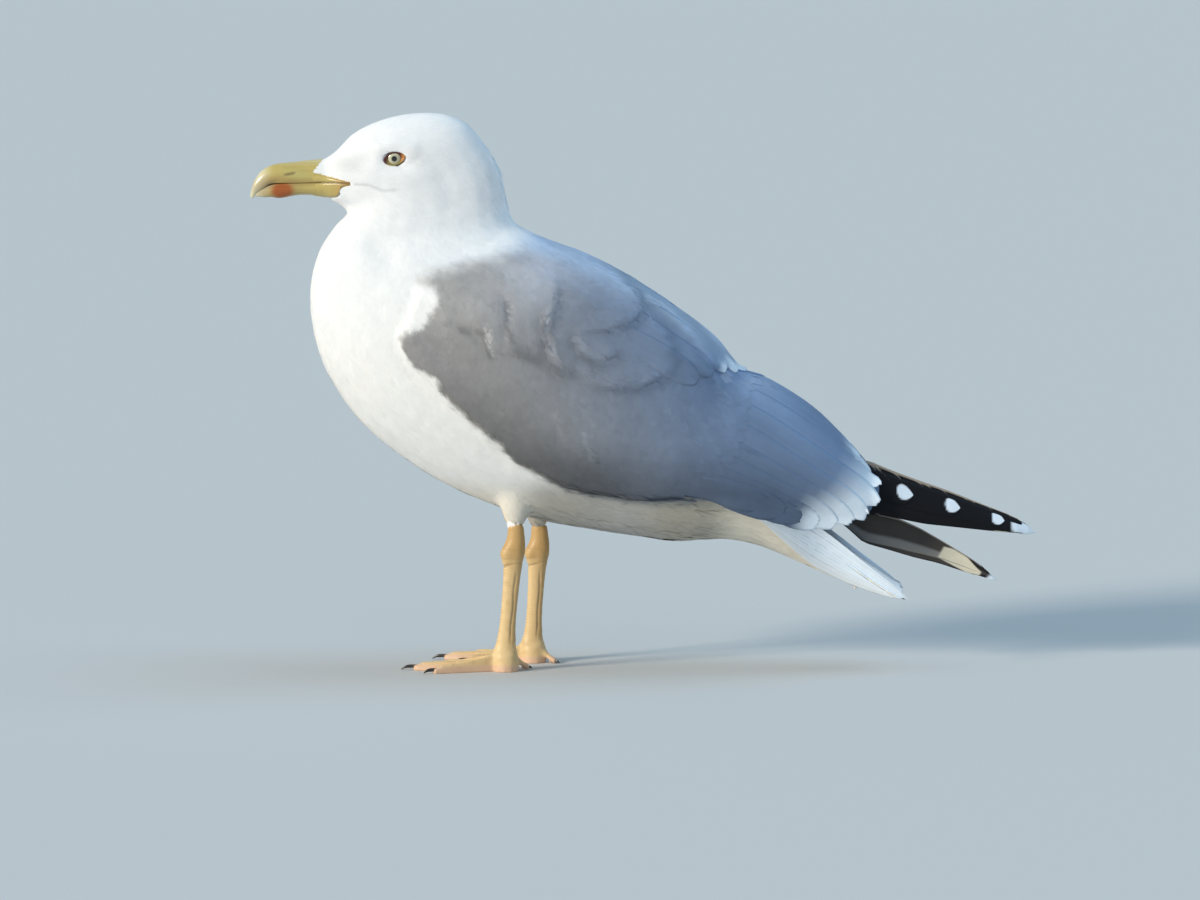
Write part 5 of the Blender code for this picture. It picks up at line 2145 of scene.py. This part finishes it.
    def build_gape(self, side: Side, horn: Surface, finish: SkinFinish) -> None:
        """The bare yellow skin from the horn back to the gape, with the mouth's line along it as a groove darkened
        with painted shade.

        Args:
            side: The side of the head.
            horn: The finished horn of both halves.
            finish: The horn's finish.
        """
        rows, columns = 44, 34
        stations = along_line(self.gape_edges, np.linspace(0, 1, rows))
        t = np.linspace(0, 1, columns)
        z = stations[:, 1:2] * (1 - t) + stations[:, 2:3] * t
        x = np.broadcast_to(stations[:, :1], z.shape)
        reach = [self.outermost(surface, x, z, side) for surface in (horn, self.form)]
        blend = smooth(-213, -205, x)
        y = reach[0] * (1 - blend) + reach[1] * blend
        for _ in range(self.gape_softening):
            y[1:-1] = 0.5 * y[1:-1] + 0.25 * (y[2:] + y[:-2])
            y[:, 1:-1] = 0.5 * y[:, 1:-1] + 0.25 * (y[:, 2:] + y[:, :-2])
        mouth = np.interp(x, *zip(*self.mouth_line))
        groove = bell((z, mouth, 0.55))
        edge = np.minimum(np.minimum(t, 1 - t)[None, :] * (stations[:, 1:2] - stations[:, 2:3]), 3.0)
        end = smooth(0, 0.1, np.linspace(1, 0, rows))[:, None]
        raised = 0.3 + 0.25 * (z > mouth) - 0.95 * groove - 1.3 * smooth(1.6, 0, edge) * (x > -212.5)
        raised = raised - 0.6 * (1 - end) - 0.75 * smooth(-208.5, -217, x)
        points = np.stack([x, y + side.value * raised, z], axis=-1)
        share = smooth(-207, -190, x)
        # painted shade in the mouth's groove
        tints = layered(Paint.HORN, (Paint.GAPE, 0.62 * share), (Paint.SMUDGE_AND_SHADE, 0.75 * groove))
        along = np.broadcast_to(np.linspace(0, 1, rows)[:, None], z.shape)
        across = np.broadcast_to(2 * t - 1, z.shape)
        if side is Side.LEFT:
            points, tints = points[:, ::-1], tints[:, ::-1]
        bake = np.stack([across * 0.45 + 0.5, along], axis=-1)
        batch = Batch(points[None], along[None], across[None], tints[None], bake[None])
        feathered(f"gape_{side.label}", [batch], finish, walled=False, shades=True)

    def outermost(self, surface: Surface, x: Array, z: Array, side: Side) -> Array:
        """How far out a surface lies at places of the side view.

        Args:
            surface: The surface.
            x: How far along the places are.
            z: How high they are.
            side: The side to look from.

        Returns:
            The distances from the middle, in an array of the same shape.
        """
        middle = np.stack([x, np.zeros(x.shape), z], axis=-1).reshape(-1, 3)
        out = np.array((0.0, side.value, 0.0))
        places, _ = surface.met(middle + out * 60.0, np.broadcast_to(-out, middle.shape), middle + out * 6.0)
        return places[:, 1].reshape(x.shape)


@dataclass
class Eye:
    """One eye: the ball with its iris, and the ring of bare skin round it."""

    side: Side
    form: Surface
    iris: float = 4.4
    pupil: float = 1.8
    opening: tuple = (4.15, 3.65)
    outer: tuple = (7.0, 4.3)
    ring_segments: int = 64
    tilt: float = 0.95

    def build(self, eye_finish: EyeFinish, ring_finish: SkinFinish) -> None:
        """The ball and its ring."""
        self.build_ball(eye_finish)
        self.build_ring(ring_finish)

    def build_ball(self, finish: EyeFinish) -> None:
        """The eyeball, with its pole at the pupil.

        Args:
            finish: The eye's finish.
        """
        shape = bmesh.new()
        bmesh.ops.create_uvsphere(shape, u_segments=48, v_segments=64, radius=EYE_RADIUS * MM)
        turn = Matrix.Rotation(math.radians(90.0), 3, "X")
        bmesh.ops.rotate(shape, verts=shape.verts, matrix=turn)
        x, y, z = EYE_CENTRE
        centre = Vector((x, self.side.value * y, z)) * MM
        bmesh.ops.translate(shape, vec=centre, verts=shape.verts)
        mesh = worked("eyeball", shape)
        points = spots_of(mesh) - np.array(centre) / MM
        off = np.hypot(points[:, 0], points[:, 2])
        back = points[:, 1] * self.side.value < 0
        rays = 0.5 + 0.5 * np.sin(np.arctan2(points[:, 2], points[:, 0]) * 23 + off * 2)
        write_tints(mesh, layered(
            Paint.IRIS,
            (Paint.IRIS_RIM, 0.25 * rays),
            (Paint.IRIS_RIM, smooth(self.iris - 1.1, self.iris - 0.1, off)),
            (Paint.PUPIL, smooth(self.pupil + 0.25, self.pupil - 0.1, off)),
            (Paint.RING_DARK, np.maximum(smooth(self.iris, self.iris + 0.3, off), back)),
        ))
        label = self.side.label
        placed(f"eyeball_{label}", mesh, finish.material(), (f"eye_{label}",))

    def build_ring(self, finish: SkinFinish) -> None:
        """The almond-shaped rims of the lids, pointed in front and behind.

        Args:
            finish: The lids' finish.
        """
        turns = np.linspace(0, math.tau, self.ring_segments + 1)
        c, s = np.cos(turns), np.sin(turns)
        rings = []
        for share, rise in ((0.0, -1.2), (0.02, 0.25), (0.3, 0.85), (0.62, 0.75), (0.9, 0.25), (1.1, -0.9)):
            power = 1.0 + 0.28 * share
            wide = self.opening[0] + share * (self.outer[0] - self.opening[0])
            tall = self.opening[1] + share * (self.outer[1] - self.opening[1])
            x = EYE_CENTRE[0] + wide * c
            z = EYE_CENTRE[2] + tall * np.sign(s) * np.abs(s) ** power + self.tilt * c * share
            rings.append((x, z, np.full(len(x), rise), np.full(len(x), share)))
        x, z, rise, share = (np.stack(column) for column in zip(*rings))
        ball = EYE_CENTRE[1] + np.sqrt(np.maximum(
            EYE_RADIUS**2 - (x - EYE_CENTRE[0]) ** 2 - (z - EYE_CENTRE[2]) ** 2, 0.0))
        skin = self.form.nearest(np.stack([x, np.full(x.shape, self.side.value * 26.0), z], axis=-1))[0]
        blend = smooth(0.35, 1, share)
        reach = ball * (1 - blend) + np.abs(skin[..., 1]) * blend + rise * (1 - 0.2 * blend)
        covers = (share > 0.01) & (share < 1.0)
        y = self.side.value * np.where(covers, np.maximum(reach, ball + 0.25), reach)
        points = np.stack([x, y, z], axis=-1)
        height, rear = z - EYE_CENTRE[2], x - EYE_CENTRE[0]
        tints = layered(
            Paint.RING_OLIVE,
            (Paint.RING_DARK, smooth(-2, 0.8, height)),
            (Paint.RING_DARK, smooth(-3.5, -5.5, rear)),
            (Paint.RING_ORANGE, smooth(3.6, 5.6, rear)),
        )
        along = np.broadcast_to(np.linspace(0, 1, len(rings))[:, None], x.shape)
        across = np.broadcast_to(turns / math.pi - 1, x.shape)
        if self.side is Side.RIGHT:
            points, tints = points[:, ::-1], tints[:, ::-1]
        bake = np.stack([across * 0.5 + 0.5, along], axis=-1)
        batch = Batch(points[None], along[None], across[None], tints[None], bake[None])
        name = f"eye_ring_{self.side.label}"
        mesh = woven(name, [batch])
        shape = bmesh.new()
        shape.from_mesh(mesh)
        bmesh.ops.remove_doubles(shape, verts=shape.verts, dist=1e-6)
        shape.to_mesh(mesh)
        shape.free()
        placed(name, mesh, finish.material())


# --- legs ---


@dataclass
class Leg:
    """One bare leg with its webbed foot and hind toe, as one scaly skin."""

    side: Side
    nodes: dict[str, Object]
    voxel: float = 0.62
    scute: float = 2.0
    relief: float = 0.16
    knob: float = 1.3
    joint_level: float = 77.5
    crease: float = 0.5
    tendon: float = 0.5
    sheath: float = 4.6
    claw_trim: float = 1.2
    claw_base: float = 0.66

    def build(self, finish: SkinFinish) -> None:
        """The leg's skin with its joint, tendon and scutes, and the claws.

        Args:
            finish: The skin's finish.
        """
        label = self.side.label
        names = (f"leg_{label}", f"foot_{label}", f"hind_toe_{label}")
        copies = [refined("copy", self.nodes[name], levels, 0.35, 50.0) for name, levels in zip(names, (2, 0, 0))]
        mesh = remeshed(f"leg_skin_{label}", copies, self.voxel, 8)
        shank = SHANKS[self.side]
        points = spots_of(mesh)
        heel = norm(points[:, :2] - (shank.x + shank.lean * 8.0, shank.y), axis=1)
        relaxed(mesh, (heel < 12.5) & (points[:, 2] < 20.0) & (points[:, 2] > 0.5), 30)
        relaxed(mesh, (heel > 8.0) & (points[:, 2] < 14.0) & (points[:, 2] > 3.2), 16)
        relaxed(mesh, (heel > 11.0) & (heel < 36.0) & (points[:, 2] > 4.2), 40)
        points = spots_of(mesh)
        normals = outward_of(mesh)
        level = points[:, 2] / shank.height
        ahead = points[:, 0] - (shank.x + shank.lean * points[:, 2])
        upper = smooth(14, 20, level)
        front = smooth(0, 0.7, -normals[:, 0])
        flank = smooth(0.3, 0.8, np.abs(normals[:, 1]))
        joint = bell((level, self.joint_level, 7.5))
        slope = level + 0.9 * ripple(points, 19.0)
        fold = bell((slope - 0.2 * ahead, 69.8, 0.8)) + 0.35 * bell((slope, 73.5, 0.6))
        fold = fold + 0.3 * bell((slope + 0.3 * ahead, 79.5, 0.6))
        fold = fold * (0.3 + 0.7 * smooth(-0.5, 0.5, -normals[:, 0]))
        groove = bell((ahead + 0.5 * ripple(points, 31.0), 2.2, 0.65))
        groove = groove * smooth(68, 58, level) * smooth(14, 26, level) * flank
        bands = self.bands(level / self.scute)
        pebble = 0.5 + 0.5 * ripple(points, 2.3)
        rise = self.knob * front * bell((level, 76, 4.6)) - self.crease * fold
        rise = rise - self.tendon * groove - 0.5 * bell((level, 86, 5)) * front
        scales = upper * (front * bands * (1 - joint) + 0.4 * pebble * (1 - front))
        reach = norm(points[:, :2] - (shank.x, shank.y), axis=1)
        toes = (1 - upper) * smooth(0.45, 0.8, normals[:, 2]) * smooth(9, 16, reach)
        scales = scales + toes * self.bands(reach / 2.4) * 0.8
        points = points + normals * (rise + self.relief * scales)[:, None]
        points[:, 2] = np.maximum(points[:, 2], 0.0)
        write_points(mesh, points)
        write_tints(mesh, layered(
            Paint.LEG,
            # deeper at the joint away from the lit front: partly the skin's own tone, partly painted shade
            (Paint.LEG_DEEP, 0.4 * joint * pebble * (1 - front)),
            (Paint.LEG_DEEP, 0.65 * smooth(62, 84, level)),
            # painted shade: darker on the rear side of the leg
            (Paint.LEG_DEEP, 0.5 * upper * smooth(-0.4, 0.8, normals[:, 0])),
            (Paint.LEG_DEEP, 0.25 * np.clip(ripple(points, 8.0), 0, 1)),
            (Paint.LEG_DEEP, 0.3 * (1 - bands) * upper * front),
            # painted shade in the crease under the knob and in the tendon's groove
            (Paint.SMUDGE_AND_SHADE, np.clip(0.45 * fold + 0.35 * groove, 0, 1)),
            (Paint.WEB, (1 - upper) * smooth(6, 2.5, points[:, 2])),
        ))
        placed(f"leg_skin_{label}", mesh, finish.material(), names)
        for toe in ("outer", "middle", "inner", "hind"):
            self.build_claw(f"claw_{label}_{toe}")

    def build_claw(self, node: str) -> None:
        """One claw: skin over its base and dark horn at its point.

        Args:
            node: The claw's node.
        """
        claw = refined(f"{node}_horn", self.nodes[node], 2, 0.12, 50.0)
        points = spots_of(claw)
        shank = SHANKS[self.side]
        reach = norm(points[:, :2] - (shank.x, shank.y), axis=1)
        share = (reach - reach.min()) / (reach.max() - reach.min())
        ways = unit((points - (shank.x, shank.y, 0.0)) * (1.0, 1.0, 0.0))
        base = smooth(0.6, 0, share)
        middle = points[share < 0.1].mean(axis=0) - (0.0, 0.0, 0.9)
        narrow = (1 - self.claw_base) * base[:, None]
        points = points - (points - middle) * (1 - ways * ways) * narrow
        write_points(claw, points - ways * (self.sheath * base + self.claw_trim * share)[:, None])
        write_tints(claw, mixed(Paint.WEB, Paint.CLAW, smooth(0, 0.35, share)))
        placed(f"{node}_horn", claw, SkinFinish("claw_horn", 0.35, coat=0.3).material(), (node,))

    def bands(self, turns: Array) -> Array:
        """The profile of scutes that overlap downwards: 0 in the seam, 1 on the scale."""
        share = turns - np.floor(turns)
        return smooth(0, 0.25, share) * smooth(1, 0.85, share)


@dataclass
class Thigh:
    """The tuft of soft feathers that hangs over the front of one bare leg's top."""

    side: Side
    body: Body
    random: np.random.Generator
    count: int = 600
    hem: float = 94.0
    half_width: float = 0.62
    depth: float = 0.2

    def build(self, finish: FeatherFinish) -> None:
        """The tuft's feathers, hanging down close to the leg.

        Args:
            finish: The feathers' finish.
        """
        label = self.side.label
        shank = SHANKS[self.side]
        drop = 0.0 if self.side is Side.LEFT else -1.0
        turns = math.pi + self.random.normal(0, 1.0, self.count)
        level = self.random.uniform(0, 1, self.count) ** 1.3
        top = self.hem + 6.0 + 14.0 * level + drop
        out = np.stack([np.cos(turns), 0.85 * np.sin(turns), np.zeros(self.count)], axis=1)
        middle = np.stack([shank.x + shank.lean * top, np.full(self.count, shank.y), top], axis=1)
        roots = middle + out * (6.4 + 4.5 * level)[:, None]
        lengths = (5.0 + 3.0 * self.random.uniform(0, 1, self.count)) * (0.65 - 0.35 * np.cos(turns))
        ways = np.array((-0.06, 0.0, -1.0)) - out * (0.13 + 0.42 * level)[:, None]
        ways = unit(ways + self.random.normal(0, 0.05, ways.shape))
        vane = Vane(rows=4, columns=3, shoulder=0.3, blunt=0.1, lift=0.1, form_shade=0.6)
        centres = roots[:, None] + ways[:, None] * lengths[:, None, None] * vane.steps[None, :, None]
        normals = np.broadcast_to(out[:, None], centres.shape)
        plumage = Plumage(self.body.form, self.random)
        widths, depths = np.full(self.count, self.half_width), np.full(self.count, self.depth)
        batch = plumage.lay(vane, centres, normals, lengths, widths, depths)
        base = mixed(Paint.WHITE, Paint.CREAM, self.random.uniform(0.0, 0.35, self.count))
        batch.tints = np.broadcast_to(base[:, None, None], batch.points.shape)
        feathered(f"thigh_tuft_{label}", [batch], finish, walled=False)


# --- studio ---


@dataclass
class Studio:
    """The floor, backdrop, lights and camera."""

    aim: tuple = (-0.0284, 0.0, 0.1417)
    elevation: float = 5.75
    distance: float = 4.3333
    lens: float = 200.0
    floor_radius: float = 120.0
    floor_tone: Colour = (0.62, 0.62, 0.61)

    def build(self) -> None:
        """Everything round the bird."""
        self.build_floor()
        self.build_lights()
        self.build_camera()

    def build_floor(self) -> None:
        """A plain level floor that runs out of sight."""
        shape = bmesh.new()
        bmesh.ops.create_circle(shape, cap_ends=True, segments=96, radius=self.floor_radius)
        mesh = worked("floor", shape)
        mesh.materials.append(PlainFinish("plain_floor", self.floor_tone, 0.9).material())
        new_object("floor", mesh)

    def build_lights(self) -> None:
        """A warm low key from the front left, a cool fill from above and behind, and even sky light."""
        for name, way, angle, power, colour in (
            ("key", (-0.85, -0.55, 0.4), 14.0, 2.85, (1.0, 0.92, 0.79)),
            ("fill", (0.6, 0.15, 0.95), 50.0, 1.00, (0.44, 0.73, 1.0)),
            ("front", (0.15, -1.0, 0.5), 60.0, 0.12, (0.92, 0.95, 1.0)),
        ):
            light = bpy.data.lights.new(name, "SUN")
            light.angle, light.energy, light.color = math.radians(angle), power, colour
            lamp = bpy.data.objects.new(name, light)
            lamp.rotation_euler = (-Vector(way)).to_track_quat("-Z", "Y").to_euler()
            bpy.context.scene.collection.objects.link(lamp)
        world = bpy.data.worlds.new("soft_light")
        world.use_nodes = True
        background = world.node_tree.nodes["Background"]
        background.inputs["Color"].default_value = (0.66, 0.84, 1.0, 1.0)
        background.inputs["Strength"].default_value = 0.43
        bpy.context.scene.world = world
        bpy.context.scene.view_settings.view_transform = "Standard"

    def build_camera(self) -> None:
        """A long lens, level with the bird's flank and a little above it."""
        camera = bpy.data.cameras.new("camera")
        camera.lens = self.lens
        camera.clip_end = 300.0
        view = bpy.data.objects.new("camera", camera)
        turn = math.radians(self.elevation)
        back = Vector((0.0, -math.cos(turn), math.sin(turn))) * self.distance
        view.location = Vector(self.aim) + back
        view.rotation_euler = (math.radians(90.0) - turn, 0.0, 0.0)
        bpy.context.scene.collection.objects.link(view)
        bpy.context.scene.camera = view


def main() -> None:
    """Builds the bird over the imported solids, then the studio."""
    logging.basicConfig(level=logging.INFO, format="%(message)s")
    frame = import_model()
    nodes = frame["nodes"]
    random = np.random.default_rng(SEED)
    markings, lay = Markings(), Lay()
    plumes = FeatherFinish("soft_white_plumes")
    vanes = FeatherFinish("grey_vanes", roughness=0.62, sheen=0.08, streaks=0.14, relief=0.3)
    body = Body(nodes, markings, lay, random)
    body.build_skin(SkinFinish("feather_skin", 0.8, mottle=0.04))
    body.build_coat(plumes, vanes)
    wings = FoldedWings(body, random)
    for row in ROWS:
        wings.build_row(row, vanes)
    quills = FeatherFinish("black_vanes", 0.5, 0.0, 0.2, refraction=1.22)
    for side in Side:
        WingTip(side, nodes[f"wing_tip_{side.label}"]).build(quills)
        Thigh(side, body, random).build(plumes)
        Leg(side, nodes).build(SkinFinish("leg_skin", 0.52, 1500.0, 0.16, 0.35, 0.0002, 0.06))
        Eye(side, body.form).build(EyeFinish(), SkinFinish("lid_skin", 0.45, 1800.0, 0.25, 0.4, 0.0002))
    Tail(nodes["tail"], random).build(FeatherFinish("tail_vanes", 0.55, 0.05, 0.12))
    Bill(nodes, body.form).build(SkinFinish("bill_horn", 0.32, 420.0, 0.12, 0.15, 0.0002, 0.25))
    Studio().build()


if __name__ == "__main__":
    main()
